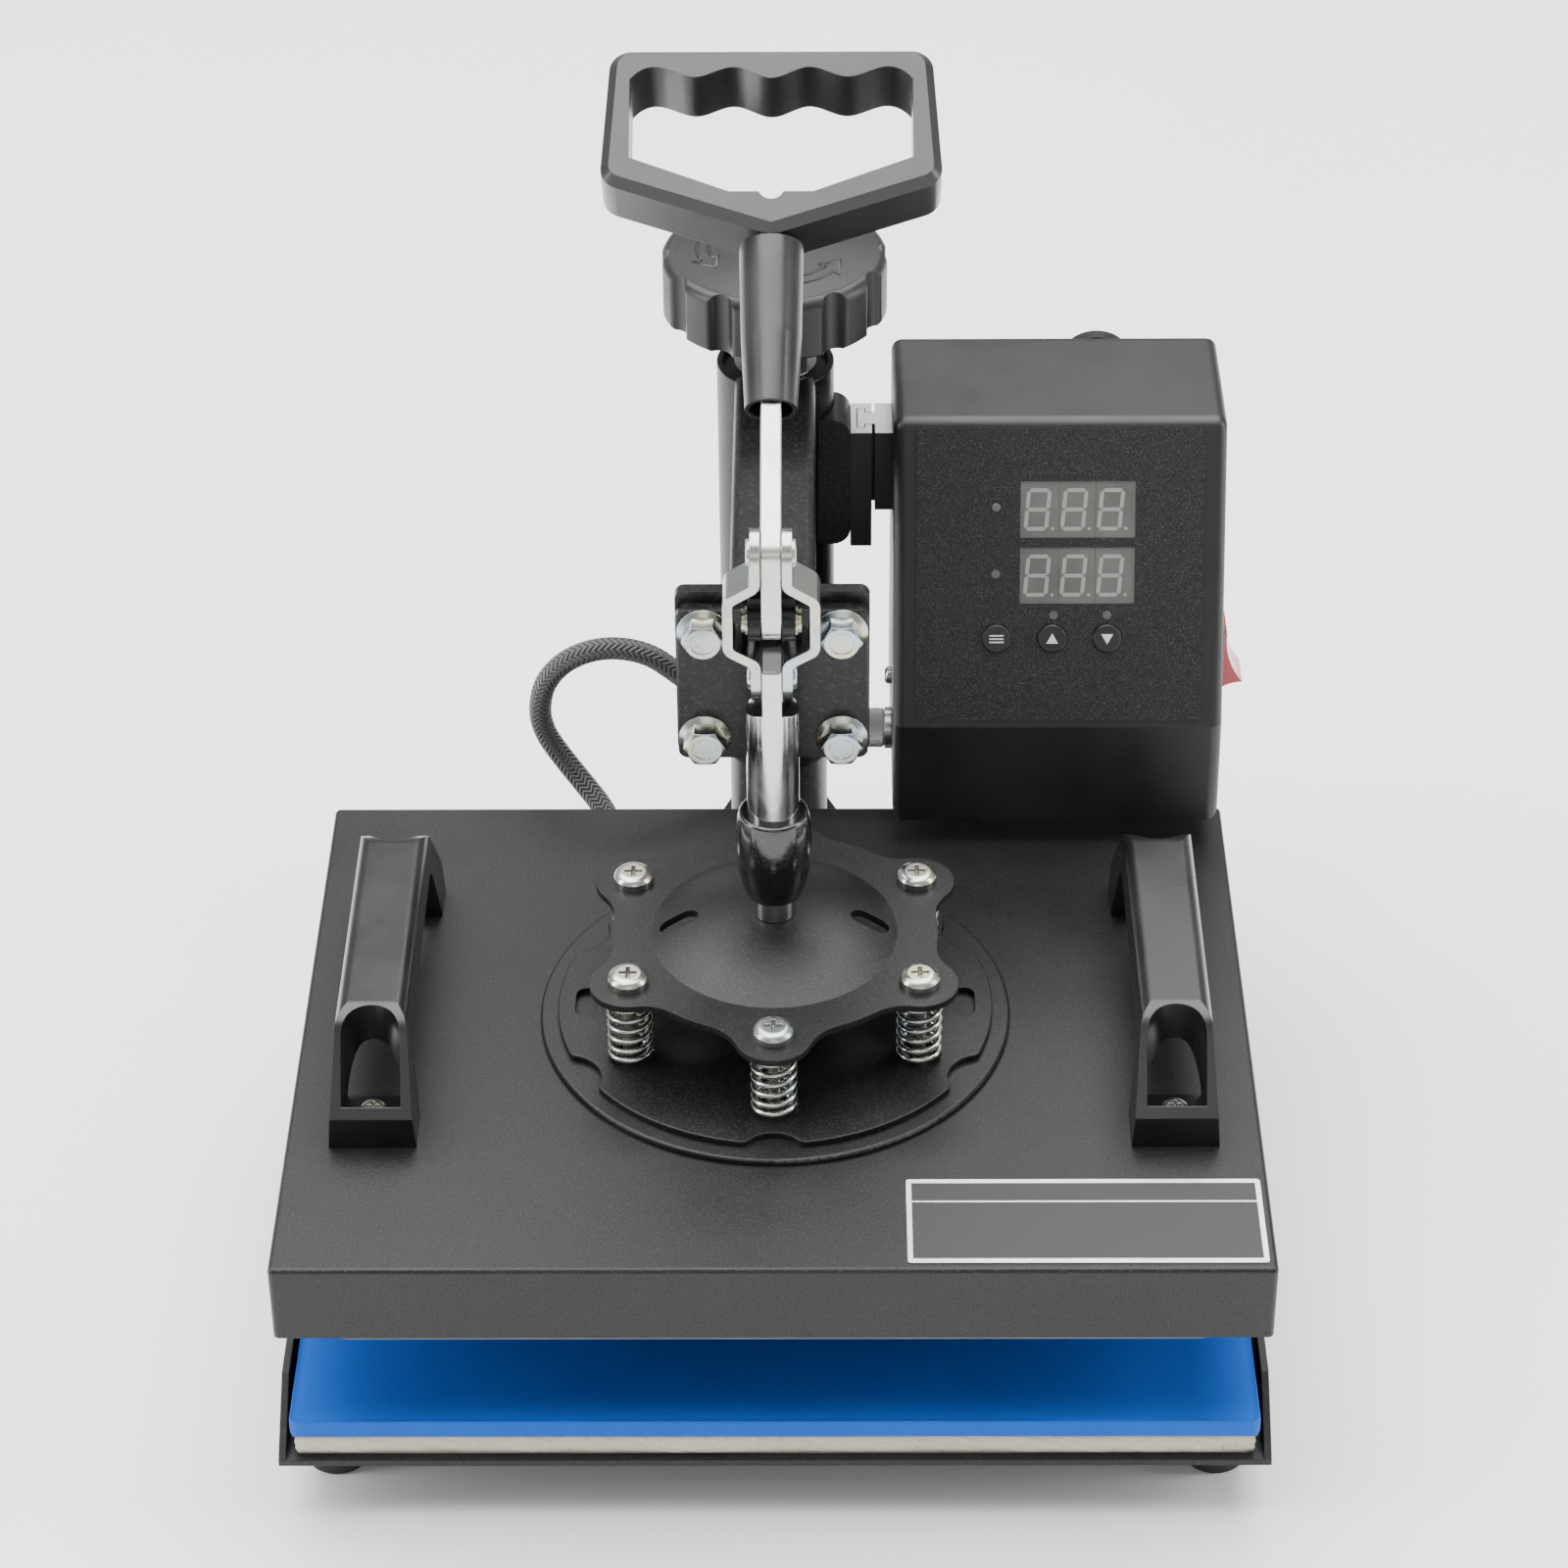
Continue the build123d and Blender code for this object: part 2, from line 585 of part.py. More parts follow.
# D grip: conical stem over the bar's end, then a flat ring with finger grooves under its top rail.
grip_t = 33
grip_top = 217
grip_low = 133.5
grip_corner = 157
stem_start = 62
finger_pitch = 30.7
groove_v = grip_top - 9.5
with BuildPart() as grip_handle:
    with BuildSketch(grip_plane) as grip_outline:
        Polygon((-65.5, grip_top), (65.5, grip_top), (69.5, grip_corner), (0, grip_low), (-69.5, grip_corner), align=None)
        fillet(grip_outline.vertices().sort_by(Axis.X)[:2], 9)
        fillet(grip_outline.vertices().sort_by(Axis.X)[-2:], 9)
    extrude(amount=grip_t / 2, both=True)
    rim = grip_handle.faces().filter_by(lambda f: abs(f.normal_at().dot(grip_plane.z_dir)) > 0.999)
    chamfer(rim.edges(), 4.2, 3.4)
    with BuildSketch(grip_plane):
        with BuildLine():
            Polyline((-57.5, 166.5), (-57.5, 202))
            Spline(
                (-57.5, 202),
                (-1.5 * finger_pitch, groove_v),
                (-finger_pitch, groove_v - 4.5),
                (-finger_pitch / 2, groove_v),
                (0, groove_v - 5),
                (finger_pitch / 2, groove_v),
                (finger_pitch, groove_v - 4.5),
                (1.5 * finger_pitch, groove_v),
                (57.5, 202),
            )
            Polyline((57.5, 202), (57.5, 166.5), (17, 151), (5, 151))
            RadiusArc((5, 151), (-5, 151), 5.4)
            Polyline((-5, 151), (-17, 151), (-57.5, 166.5))
        make_face()
    extrude(amount=grip_t, both=True, mode=Mode.SUBTRACT)
    with BuildSketch(grip_plane):
        Polygon((0, stem_start), (10.6, stem_start), (12.2, 92), (13, 126), (13, 134), (0, 134), align=None)
    revolve(axis=Axis(grip_plane.origin, arm_dir))
    with BuildSketch(grip_plane):
        Polygon((0, stem_start), (8.9, stem_start), (8.9, stem_start + 7), (0, stem_start + 7), align=None)
    revolve(axis=Axis(grip_plane.origin, arm_dir), mode=Mode.SUBTRACT)
    with BuildSketch(Plane.YZ):
        with Locations((bar_end / 2 * sin(lean), upper_pin_z + bar_end / 2 * cos(lean))):
            Rectangle(bar_end, 2 * bar_half, rotation=90 - lever_lean)
    extrude(amount=bar_t / 2, both=True, mode=Mode.SUBTRACT)
grip_handle.part.label = "grip_handle"
export_step(grip_handle.part, "parts/grip_handle.step")

# ================================================================ toggle links
# Two mirrored flat strips: narrow necks at the pins, flared in between to pass round the ears and the pivot.
neck_mid = neck_in + link_t / 2
flare_mid = flare_out - link_t / 2
with BuildPart() as toggle_links:
    for side in (-1, 1):
        with BuildSketch(Plane.XZ):
            with BuildLine():
                FilletPolyline(
                    (side * neck_mid, lower_pin_z - link_half - 2),
                    (side * neck_mid, lower_pin_z + 11),
                    (side * flare_mid, lower_pin_z + 17.5),
                    (side * flare_mid, lower_pin_z + 40.5),
                    (side * neck_mid, lower_pin_z + 47.5),
                    (side * neck_mid, upper_pin_z + link_half + 2),
                    radius=4,
                )
            trace(line_width=link_t)
        extrude(amount=link_half + 1, both=True)
    with BuildSketch(Plane.YZ):
        with Locations((0, (upper_pin_z + lower_pin_z) / 2)):
            SlotCenterToCenter(link_length, 2 * link_half, rotation=90)
        with Locations((0, upper_pin_z), (0, lower_pin_z)):
            Circle(pin_r, mode=Mode.SUBTRACT)
    extrude(amount=flare_out + 5, both=True, mode=Mode.INTERSECT)
toggle_links.part.label = "toggle_links"
export_step(toggle_links.part, "parts/toggle_links.step")

# Rivets: one right through the links and the bar at the upper pin, and one stub in each link at the lower pin.
neck_out = neck_in + link_t
rivet_head_r = 5.8
rivet_head_h = 1.7
with BuildPart() as toggle_rivets:
    with BuildSketch(Plane.YZ.offset(-neck_out)):
        with Locations((0, upper_pin_z)):
            Circle(pin_r)
    extrude(amount=2 * neck_out)
    for side in (-1, 1):
        with BuildSketch(Plane.YZ.offset(side * neck_in)):
            with Locations((0, lower_pin_z)):
                Circle(pin_r)
        extrude(amount=side * link_t)
        with BuildSketch(Plane.YZ.offset(side * neck_out)):
            with Locations((0, upper_pin_z), (0, lower_pin_z)):
                Circle(rivet_head_r)
        extrude(amount=side * rivet_head_h)
    fillet(toggle_rivets.edges().filter_by(GeomType.CIRCLE).group_by(Axis.X)[0], 1)
    fillet(toggle_rivets.edges().filter_by(GeomType.CIRCLE).group_by(Axis.X)[-1], 1)
toggle_rivets.part.label = "toggle_rivets"
export_step(toggle_rivets.part, "parts/toggle_rivets.step")

# ================================================================ plunger and spider
# Turned rod: a thin stub at the foot, and two milled flats at the head that leave a tongue between the links.
tongue_top = lower_pin_z + 8
mill_r = 17
with BuildPart() as plunger_rod:
    with BuildSketch(Plane.XY.offset(rod_bottom)):
        Circle(rod_r)
    extrude(amount=tongue_top - rod_bottom)
    chamfer(plunger_rod.faces().sort_by(Axis.Z)[-1].edges(), 0.8)
    with BuildSketch(Plane.XY.offset(stub_bottom)):
        Circle(stub_r)
    extrude(amount=rod_bottom - stub_bottom)
    for side in (-1, 1):
        with BuildSketch(Plane.YZ.offset(side * tongue_half)):
            with Locations((0, lower_pin_z)):
                Circle(mill_r)
            with Locations((0, lower_pin_z + mill_r)):
                Rectangle(3 * mill_r, 2 * mill_r)
        extrude(amount=side * rod_r, mode=Mode.SUBTRACT)
plunger_rod.part.label = "plunger_rod"
export_step(plunger_rod.part, "parts/plunger_rod.step")

# Six-armed spring plate with a pressed dome in the middle that the rod is welded to.
arm_tip_r = 16
waist_r = 68.5
waist_fillet = 20
dome_drop = stub_bottom - spider_top
with BuildPart() as spider_plate:
    with BuildSketch(Plane.XY.offset(spider_bottom)) as star:
        Circle(waist_r)
        with Locations(*screw_points):
            Circle(arm_tip_r)
        fillet(star.vertices(), waist_fillet)
        with Locations(*screw_points):
            Circle(3 + 0.08, mode=Mode.SUBTRACT)
        Circle(dome_r - 1, mode=Mode.SUBTRACT)
    extrude(amount=spider_t)
    with BuildSketch(Plane.XZ):
        with BuildLine():
            RadiusArc((0, stub_bottom), (dome_r, spider_top), cap_radius(dome_r, dome_drop))
            Polyline((dome_r, spider_top), (dome_r, spider_bottom), (dome_r - 2, spider_bottom))
            RadiusArc((dome_r - 2, spider_bottom), (0, stub_bottom - spider_t), -cap_radius(dome_r - 2, dome_drop))
            Line((0, stub_bottom - spider_t), (0, stub_bottom))
        make_face()
    revolve(axis=Axis.Z)
    for side in (-1, 1):
        with BuildSketch(Plane.XY.offset(spider_bottom)):
            with Locations((side * 40, 1)):
                SlotOverall(16.5, 9, rotation=-side * 22)
        extrude(amount=20, mode=Mode.SUBTRACT)
spider_plate.part.label = "spider_plate"
export_step(spider_plate.part, "parts/spider_plate.step")

# ================================================================ heating platen
with BuildPart() as spring_screws:
    with Locations(*[(x, y, spider_top + running_gap) for x, y in screw_points]):
        add(pan_screw(8.35, 5.5, 3, spider_top - heater_bottom - 10))
spring_screws.part.label = "spring_screws"
export_step(spring_screws.part, "parts/spring_screws.step")

# Compression springs between the seat plate and the spider.
spring_rise = spider_bottom - seat_top - 2 * wire_r - 0.3
with BuildPart() as one_spring:
    with BuildLine():
        coil = Helix(spring_pitch, spring_rise, spring_r, center=(0, 0, seat_top + wire_r))
    with BuildSketch(Plane(origin=coil @ 0, z_dir=coil % 0)):
        Circle(wire_r)
    sweep(is_frenet=True)
with BuildPart() as platen_springs:
    with Locations(*screw_points):
        add(one_spring.part)
platen_springs.part.label = "platen_springs"
export_step(platen_springs.part, "parts/platen_springs.step")

# Notched plate under the springs: a scallop at each spring and a slot at each side.
seat_r = 92
with BuildPart() as spring_seat_plate:
    with BuildSketch(Plane.XY.offset(seat_bottom)) as seat:
        Circle(seat_r)
        with PolarLocations(seat_r + 7.2, screw_count, start_angle=30):
            Circle(14, mode=Mode.SUBTRACT)
        fillet(seat.vertices(), 4)
        with Locations(*screw_points):
            Circle(3, mode=Mode.SUBTRACT)
        with Locations((-80, 0), (80, 0)):
            SlotOverall(19, 9, rotation=90, mode=Mode.SUBTRACT)
    extrude(amount=seat_top - seat_bottom)
    fillet(spring_seat_plate.faces().sort_by(Axis.Z)[-1].outer_wire().edges(), 0.6)
spring_seat_plate.part.label = "spring_seat_plate"
export_step(spring_seat_plate.part, "parts/spring_seat_plate.step")

disc_r = 99.5
with BuildPart() as pressure_disc:
    with BuildSketch(Plane.XY.offset(disc_bottom)):
        Circle(disc_r)
        with Locations(*screw_points):
            Circle(3, mode=Mode.SUBTRACT)
    extrude(amount=seat_bottom - disc_bottom)
    fillet(pressure_disc.faces().sort_by(Axis.Z)[-1].outer_wire().edges(), 1.4)
pressure_disc.part.label = "pressure_disc"
export_step(pressure_disc.part, "parts/pressure_disc.step")

# Folded sheet cover, open below, with holes for the screws and the cable grommet.
handle_x = 164
handle_half = 18
handle_top_half = 14.3
handle_end = 87.5
handle_h = 50
handle_screw_y = 76
grommet_x = -74.5
grommet_z = 116
grommet_neck_r = 6.5
handle_screw_points = [(sx * handle_x, sy * handle_screw_y) for sx in (-1, 1) for sy in (-1, 1)]
with BuildPart() as platen_cover:
    with BuildSketch(Plane.XY.offset(cover_top - cover_skirt)):
        with Locations((0, platen_y)):
            Rectangle(cover_w, cover_d)
    extrude(amount=cover_skirt)
    fillet(platen_cover.edges().filter_by(Axis.Z), 2.6)
    fillet(platen_cover.faces().sort_by(Axis.Z)[-1].edges(), 2)
    with BuildSketch(Plane.XY.offset(cover_top - cover_skirt)):
        with Locations((0, platen_y)):
            RectangleRounded(cover_w - 2 * sheet, cover_d - 2 * sheet, 1)
    extrude(amount=cover_skirt - sheet, mode=Mode.SUBTRACT)
    with BuildSketch(Plane.XY.offset(cover_top)):
        with Locations(*screw_points):
            Circle(3)
        with Locations(*handle_screw_points):
            Circle(small_screw_r)
    extrude(amount=-sheet, mode=Mode.SUBTRACT)
    with BuildSketch(Plane.XZ.offset(-platen_back - 1)):
        with Locations((grommet_x, grommet_z)):
            Circle(grommet_neck_r)
    extrude(amount=sheet + 2, mode=Mode.SUBTRACT)
platen_cover.part.label = "platen_cover"
export_step(platen_cover.part, "parts/platen_cover.step")

# Cast plate with six bosses that reach up to the cover and take the spring screws.
boss_r = 8
with BuildPart() as heater_plate:
    with BuildSketch(Plane.XY.offset(heater_bottom)):
        with Locations((0, platen_y)):
            RectangleRounded(heater_w, heater_d, 20)
    extrude(amount=heater_t)
    chamfer(heater_plate.faces().sort_by(Axis.Z)[0].edges(), 1)
    with BuildSketch(Plane.XY.offset(heater_top)):
        with Locations(*screw_points):
            Circle(boss_r)
    extrude(amount=cover_top - sheet - heater_top)
    with BuildSketch(Plane.XY.offset(heater_bottom + 10)):
        with Locations(*screw_points):
            Circle(3)
    extrude(amount=cover_top, mode=Mode.SUBTRACT)
heater_plate.part.label = "heater_plate"
export_step(heater_plate.part, "parts/heater_plate.step")

# Tubular element lying on the plate in an open loop.
element_r = 4
with BuildPart() as heating_element:
    with BuildLine() as element_path:
        FilletPolyline((-20, 118), (-160, 118), (-160, -132), (160, -132), (160, 118), (20, 118), radius=30)
    element_start = element_path.line @ 0 + Vector(0, 0, heater_top + element_r)
    with BuildSketch(Plane(origin=element_start, z_dir=element_path.line % 0)):
        Circle(element_r)
    sweep(path=element_path.line.moved(Location((0, 0, heater_top + element_r))))
heating_element.part.label = "heating_element"
export_step(heating_element.part, "parts/heating_element.step")

pad_bottom = heater_top + 2 * element_r
with BuildPart() as insulation_pad:
    with BuildSketch(Plane.XY.offset(pad_bottom)):
        with Locations((0, platen_y)):
            RectangleRounded(360, 268, 12)
        with Locations(*screw_points):
            Circle(boss_r, mode=Mode.SUBTRACT)
    extrude(amount=cover_top - sheet - 2 - pad_bottom)
insulation_pad.part.label = "insulation_pad"
export_step(insulation_pad.part, "parts/insulation_pad.step")

# Carry handles: bowed bars whose ends slope down to a low lip, each end with a pocket for its screw.
lip_z = cover_top + 15
pocket_floor = cover_top + 9
pocket_half = 12.2
slope_y = 62
grip_room = 35
for name, handle_side in (("carry_handle_left", -1), ("carry_handle_right", 1)):
    with BuildPart() as carry_handle:
        with BuildSketch(Plane.YZ.offset(handle_side * handle_x)) as side_view:
            Polygon(
                (-handle_end, cover_top), (-handle_end, lip_z), (-slope_y, cover_top + handle_h),
                (slope_y, cover_top + handle_h), (handle_end, lip_z), (handle_end, cover_top),
                (68, cover_top), (56, cover_top + grip_room), (-56, cover_top + grip_room), (-68, cover_top),
                align=None,
            )
            fillet(side_view.vertices().group_by(Axis.Y)[-2], 9)
            fillet(side_view.vertices().group_by(Axis.Y)[-1], 16)
        extrude(amount=handle_half, both=True)
        with BuildSketch(Plane.XZ.offset(-handle_end - 1)) as end_view:
            with Locations((handle_side * handle_x, cover_top)):
                Polygon((-handle_half, 0), (handle_half, 0), (handle_top_half, handle_h), (-handle_top_half, handle_h),
                        align=None)
            fillet(end_view.vertices().group_by(Axis.Y)[-1], 5)
        extrude(amount=2 * handle_end + 2, mode=Mode.INTERSECT)
        for end in (-1, 1):
            with BuildSketch(Plane.XY.offset(pocket_floor)):
                with Locations((handle_side * handle_x, end * (handle_end - 19))):
                    Circle(pocket_half)
                with Locations((handle_side * handle_x, end * (handle_end - 11))):
                    Rectangle(2 * pocket_half, 16)
            extrude(amount=handle_h, mode=Mode.SUBTRACT)
            with BuildSketch(Plane.XY.offset(cover_top)):
                with Locations((handle_side * handle_x, end * handle_screw_y)):
                    Circle(small_screw_r)
            extrude(amount=pocket_floor - cover_top, mode=Mode.SUBTRACT)
    carry_handle.part.label = name
    export_step(carry_handle.part, f"parts/{name}.step")

with BuildPart() as handle_screws:
    with Locations(*[(x, y, pocket_floor) for x, y in handle_screw_points]):
        add(pan_screw(5.6, 4, small_screw_r, 12))
handle_screws.part.label = "handle_screws"
export_step(handle_screws.part, "parts/handle_screws.step")

# Blank plate at the cover's front right corner.
with BuildPart() as label_plate:
    with BuildSketch(Plane.XY.offset(cover_top)):
        with Locations((125, -133)):
            RectangleRounded(143, 50, 1.5)
    extrude(amount=0.5)
label_plate.part.label = "label_plate"
export_step(label_plate.part, "parts/label_plate.step")

# ================================================================ heater cable
cable_r = 5.1
cable_route = [
    (29.5, 172, 167),
    (10, 172, 167),
    (-11, 174.5, 171.5),
    (-31, 177, 181),
    (-46, 178, 194),
    (-58.1, 178, 204.1),
    (-76, 178, 207.6),
    (-93.2, 178.5, 201.7),
    (-105.1, 180, 187.9),
    (-108.6, 182, 170),
    (-106.5, 184.5, 156),
    (-100, 185.5, 143),
    (-90, 182.5, 129.5),
    (-79.5, 173, 120.5),
    (grommet_x, 159.2, grommet_z),
    (grommet_x, 143.2, grommet_z),
]


def bend_radii(route):
    """Largest fair radius at each inner point: 0.45 of the shorter run over the tangent of half the turn."""
    points = [Vector(*p) for p in route]
    radii = []
    for before, here, after in zip(points, points[1:], points[2:]):
        shorter = min((here - before).length, (after - here).length)
        turn = (here - before).get_angle(after - here)
        radii.append(0.45 * shorter / tan(radians(turn / 2)))
    return radii


cable_radii = bend_radii(cable_route)
print("cable radii", [round(r, 1) for r in cable_radii])
with BuildPart() as heater_cable:
    with BuildLine() as cable_path:
        FilletPolyline(*cable_route, radius=cable_radii)
    with BuildSketch(Plane(origin=cable_path.line @ 0, z_dir=cable_path.line % 0)):
        Circle(cable_r)
    sweep()
heater_cable.part.label = "heater_cable"
export_step(heater_cable.part, "parts/heater_cable.step")
cable_length = sum(edge.length for edge in cable_path.line.edges())
cable_section = pi * cable_r**2
print(f"cable length {cable_length:.1f}  volume ratio {heater_cable.part.volume / cable_section / cable_length:.4f}")

# Rubber grommet in the cover's rear skirt.
grommet_bore = cable_r + 0.3
with BuildPart() as cable_grommet:
    with BuildSketch(Plane.XZ.offset(-platen_back - 3)):
        with Locations((grommet_x, grommet_z)):
            Circle(9)
    extrude(amount=3)
    fillet(cable_grommet.faces().sort_by(Axis.Y)[-1].edges(), 1.5)
    with BuildSketch(Plane.XZ.offset(-platen_back)):
        with Locations((grommet_x, grommet_z)):
            Circle(grommet_neck_r)
    extrude(amount=sheet)
    with BuildSketch(Plane.XZ.offset(-platen_back + sheet)):
        with Locations((grommet_x, grommet_z)):
            Circle(9)
    extrude(amount=2.5)
    with BuildSketch(Plane.XZ.offset(-platen_back - 3)):
        with Locations((grommet_x, grommet_z)):
            Circle(grommet_bore)
    extrude(amount=10, mode=Mode.SUBTRACT)
cable_grommet.part.label = "cable_grommet"
export_step(cable_grommet.part, "parts/cable_grommet.step")

# ================================================================ bracket of the control box
rail_y = 210.5
rail_depth = 25
tab_x = 33
with BuildPart() as box_tab:
    with BuildSketch(Plane.XY.offset(249)):
        with Locations((tab_x / 2, rail_y)):
            Rectangle(tab_x, rail_depth)
    extrude(amount=64)
    fillet(box_tab.edges().filter_by(Axis.Y).group_by(Axis.X)[-1], 8)
    with Locations((0, post_y, 280)):
        Cylinder(sleeve_r, 100, mode=Mode.SUBTRACT)
box_tab.part.label = "box_tab"
export_step(box_tab.part, "parts/box_tab.step")

# Extruded rail with a T slot, and the slider that hooks into it and carries the box.
fixed_x = 42.4
slot_mouth = 10.4
slot_head = 16.4
with BuildPart() as fixed_rail:
    with BuildSketch(Plane.XY.offset(248)):
        with Locations(((tab_x + fixed_x) / 2, rail_y)):
            Rectangle(fixed_x - tab_x, rail_depth)
        with Locations((fixed_x - 1.5, rail_y)):
            Rectangle(3, slot_mouth, mode=Mode.SUBTRACT)
        with Locations((fixed_x - 4.8, rail_y)):
            Rectangle(3.8, slot_head, mode=Mode.SUBTRACT)
    extrude(amount=59)
fixed_rail.part.label = "fixed_rail"
export_step(fixed_rail.part, "parts/fixed_rail.step")

slider_x = 43.7
with BuildPart() as slider_rail:
    with BuildSketch(Plane.XY.offset(267)):
        with Locations(((slider_x + box_left) / 2, rail_y)):
            Rectangle(box_left - slider_x, rail_depth)
        with Locations(((slider_x + fixed_x - 3.2) / 2, rail_y)):
            Rectangle(slider_x - fixed_x + 3.2, slot_mouth - 0.8)
        with Locations((fixed_x - 4.8, rail_y)):
            Rectangle(3.2, slot_head - 0.8)
    extrude(amount=40)
slider_rail.part.label = "slider_rail"
export_step(slider_rail.part, "parts/slider_rail.step")

# ================================================================ control box
slope_mid = (0, (slope_top_y + slope_bottom_y) / 2, (box_top + slope_bottom_z) / 2)
slope_length = sqrt(slope_run**2 + slope_rise**2)
panel_plane = tilted(
    (0, -slope_rise / slope_length, slope_run / slope_length), (box_mid_x, slope_mid[1], slope_mid[2])
)
box_w = box_right - box_left
cover_t = 3
window_w = 50
window_h = 25
window_points = [(7.7, 29), (7.7, -0.2)]
button_r = 6.3
button_v = -28
button_us = {"set_button": -27.3, "up_button": -3, "down_button": 21}
lamp_points = [(-27.8, 30), (-27.8, 0.6), (-2.5, -17.7), (20.8, -17.7)]
lamp_r = 1.9
panel_w = 125
panel_h = 130
panel_t = 0.8
board_depth = 14
rocker_y = 168
rocker_z = 211
switch_half_y = 11
switch_half_z = 17
socket_y = 172
socket_z = 167
small_thread_r = 1.6
earth_point = (box_left, 176, 193)
box_profile = [
    (slope_top_y, box_top), (slope_bottom_y, slope_bottom_z), (box_front_y, box_bottom),
    (box_back - cover_t, box_bottom), (box_back - cover_t, box_top),
]
screw_inset = 7
box_screw_points = [
    (x, z) for x in (box_left + screw_inset, box_right - screw_inset)
    for z in (box_bottom + screw_inset, box_top - screw_inset)
]
with BuildPart() as box_front_shell:
    with BuildSketch(Plane.YZ.offset(box_left)):
        Polygon(*box_profile, align=None)
    extrude(amount=box_w)
    front_edges = box_front_shell.edges().filter_by(lambda e: e.center().Y < box_back - cover_t - 1)
    fillet(front_edges.filter_by(Axis.X).filter_by(lambda e: e.center().Z > slope_bottom_z + 5), 6)
    front_edges = box_front_shell.edges().filter_by(lambda e: e.center().Y < box_back - cover_t - 1)
    fillet(front_edges.filter_by(lambda e: abs(e.center().X - box_mid_x) > box_w / 2 - 0.1), 5)
    rear_face = box_front_shell.faces().sort_by(Axis.Y)[-1]
    offset(amount=-box_wall, openings=rear_face)
    with BuildSketch(panel_plane):
        with Locations(*window_points):
            Rectangle(window_w + 0.4, window_h + 0.4)
        with Locations(*[(u, button_v) for u in button_us.values()]):
            Circle(button_r + 0.3)
        with Locations(*lamp_points):
            Circle(lamp_r + 0.1)
    extrude(amount=-2 * box_wall, mode=Mode.SUBTRACT)
    with BuildSketch(Plane.YZ.offset(box_right + 1)):
        with Locations((rocker_y, rocker_z)):
            Rectangle(2 * switch_half_y, 2 * switch_half_z)
    extrude(amount=-box_wall - 2, mode=Mode.SUBTRACT)
    with BuildSketch(Plane.YZ.offset(box_left - 1)):
        with Locations((socket_y, socket_z)):
            Circle(7)
    extrude(amount=box_wall + 2, mode=Mode.SUBTRACT)
    with BuildSketch(Plane.YZ.offset(box_left - 1)):
        with Locations(earth_point[1:]):
            Circle(small_thread_r)
    extrude(amount=box_wall + 2, mode=Mode.SUBTRACT)
    with BuildSketch(Plane.XZ.offset(-box_back + cover_t)):
        with Locations(*box_screw_points):
            Circle(5.5)
    extrude(amount=22)
    with BuildSketch(Plane.XZ.offset(-box_back + cover_t)):
        with Locations(*box_screw_points):
            Circle(small_thread_r)
    extrude(amount=18, mode=Mode.SUBTRACT)
box_front_shell.part.label = "box_front_shell"
export_step(box_front_shell.part, "parts/box_front_shell.step")

gland_x = 143
gland_z = 310
gland_bore_r = 4.5
gland_thread_r = 10
with BuildPart() as box_back_cover:
    with BuildSketch(Plane.XZ.offset(-box_back)):
        with Locations((box_mid_x, (box_top + box_bottom) / 2)):
            RectangleRounded(box_w, box_top - box_bottom, 5)
        with Locations((gland_x, gland_z)):
            Circle(gland_thread_r, mode=Mode.SUBTRACT)
        with Locations(*box_screw_points):
            Circle(2, mode=Mode.SUBTRACT)
        for vent in range(5):
            with Locations((box_mid_x, box_bottom + 30 + 8 * vent)):
                SlotOverall(70, 3, mode=Mode.SUBTRACT)
    extrude(amount=cover_t)
    fillet(box_back_cover.faces().sort_by(Axis.Y)[-1].outer_wire().edges(), 1.5)
box_back_cover.part.label = "box_back_cover"
export_step(box_back_cover.part, "parts/box_back_cover.step")

# Screws of the back cover, and the earth screw on the box's left side.
with BuildPart() as box_screws:
    with Locations(*[Location((x, box_back, z), (-90, 0, 0)) for x, z in box_screw_points]):
        add(pan_screw(3.6, 2.4, small_thread_r, 16))
    with Locations(Location(earth_point, (0, -90, 0))):
        add(pan_screw(4, 3, small_thread_r, box_wall))
box_screws.part.label = "box_screws"
export_step(box_screws.part, "parts/box_screws.step")

with BuildPart() as overlay_panel:
    with BuildSketch(panel_plane):
        RectangleRounded(panel_w, panel_h, 2)
        with Locations(*window_points):
            Rectangle(window_w, window_h, mode=Mode.SUBTRACT)
        with Locations(*[(u, button_v) for u in button_us.values()]):
            Circle(button_r + 0.2, mode=Mode.SUBTRACT)
        with Locations(*lamp_points):
            Circle(lamp_r, mode=Mode.SUBTRACT)
    extrude(amount=panel_t)
overlay_panel.part.label = "overlay_panel"
export_step(overlay_panel.part, "parts/overlay_panel.step")

board_top = -board_depth
with BuildPart() as digit_displays:
    with BuildSketch(panel_plane.offset(board_top)):
        with Locations(*window_points):
            Rectangle(window_w, window_h)
    extrude(amount=board_depth + 0.3)
digit_displays.part.label = "digit_displays"
export_step(digit_displays.part, "parts/digit_displays.step")

with BuildPart() as indicator_lamps:
    with BuildSketch(panel_plane.offset(board_top)):
        with Locations(*lamp_points):
            Circle(lamp_r)
    extrude(amount=board_depth + panel_t + 0.3)
    fillet(indicator_lamps.faces().filter_by(panel_plane).group_by(Axis.Z)[-1].edges(), 0.5)
indicator_lamps.part.label = "indicator_lamps"
export_step(indicator_lamps.part, "parts/indicator_lamps.step")

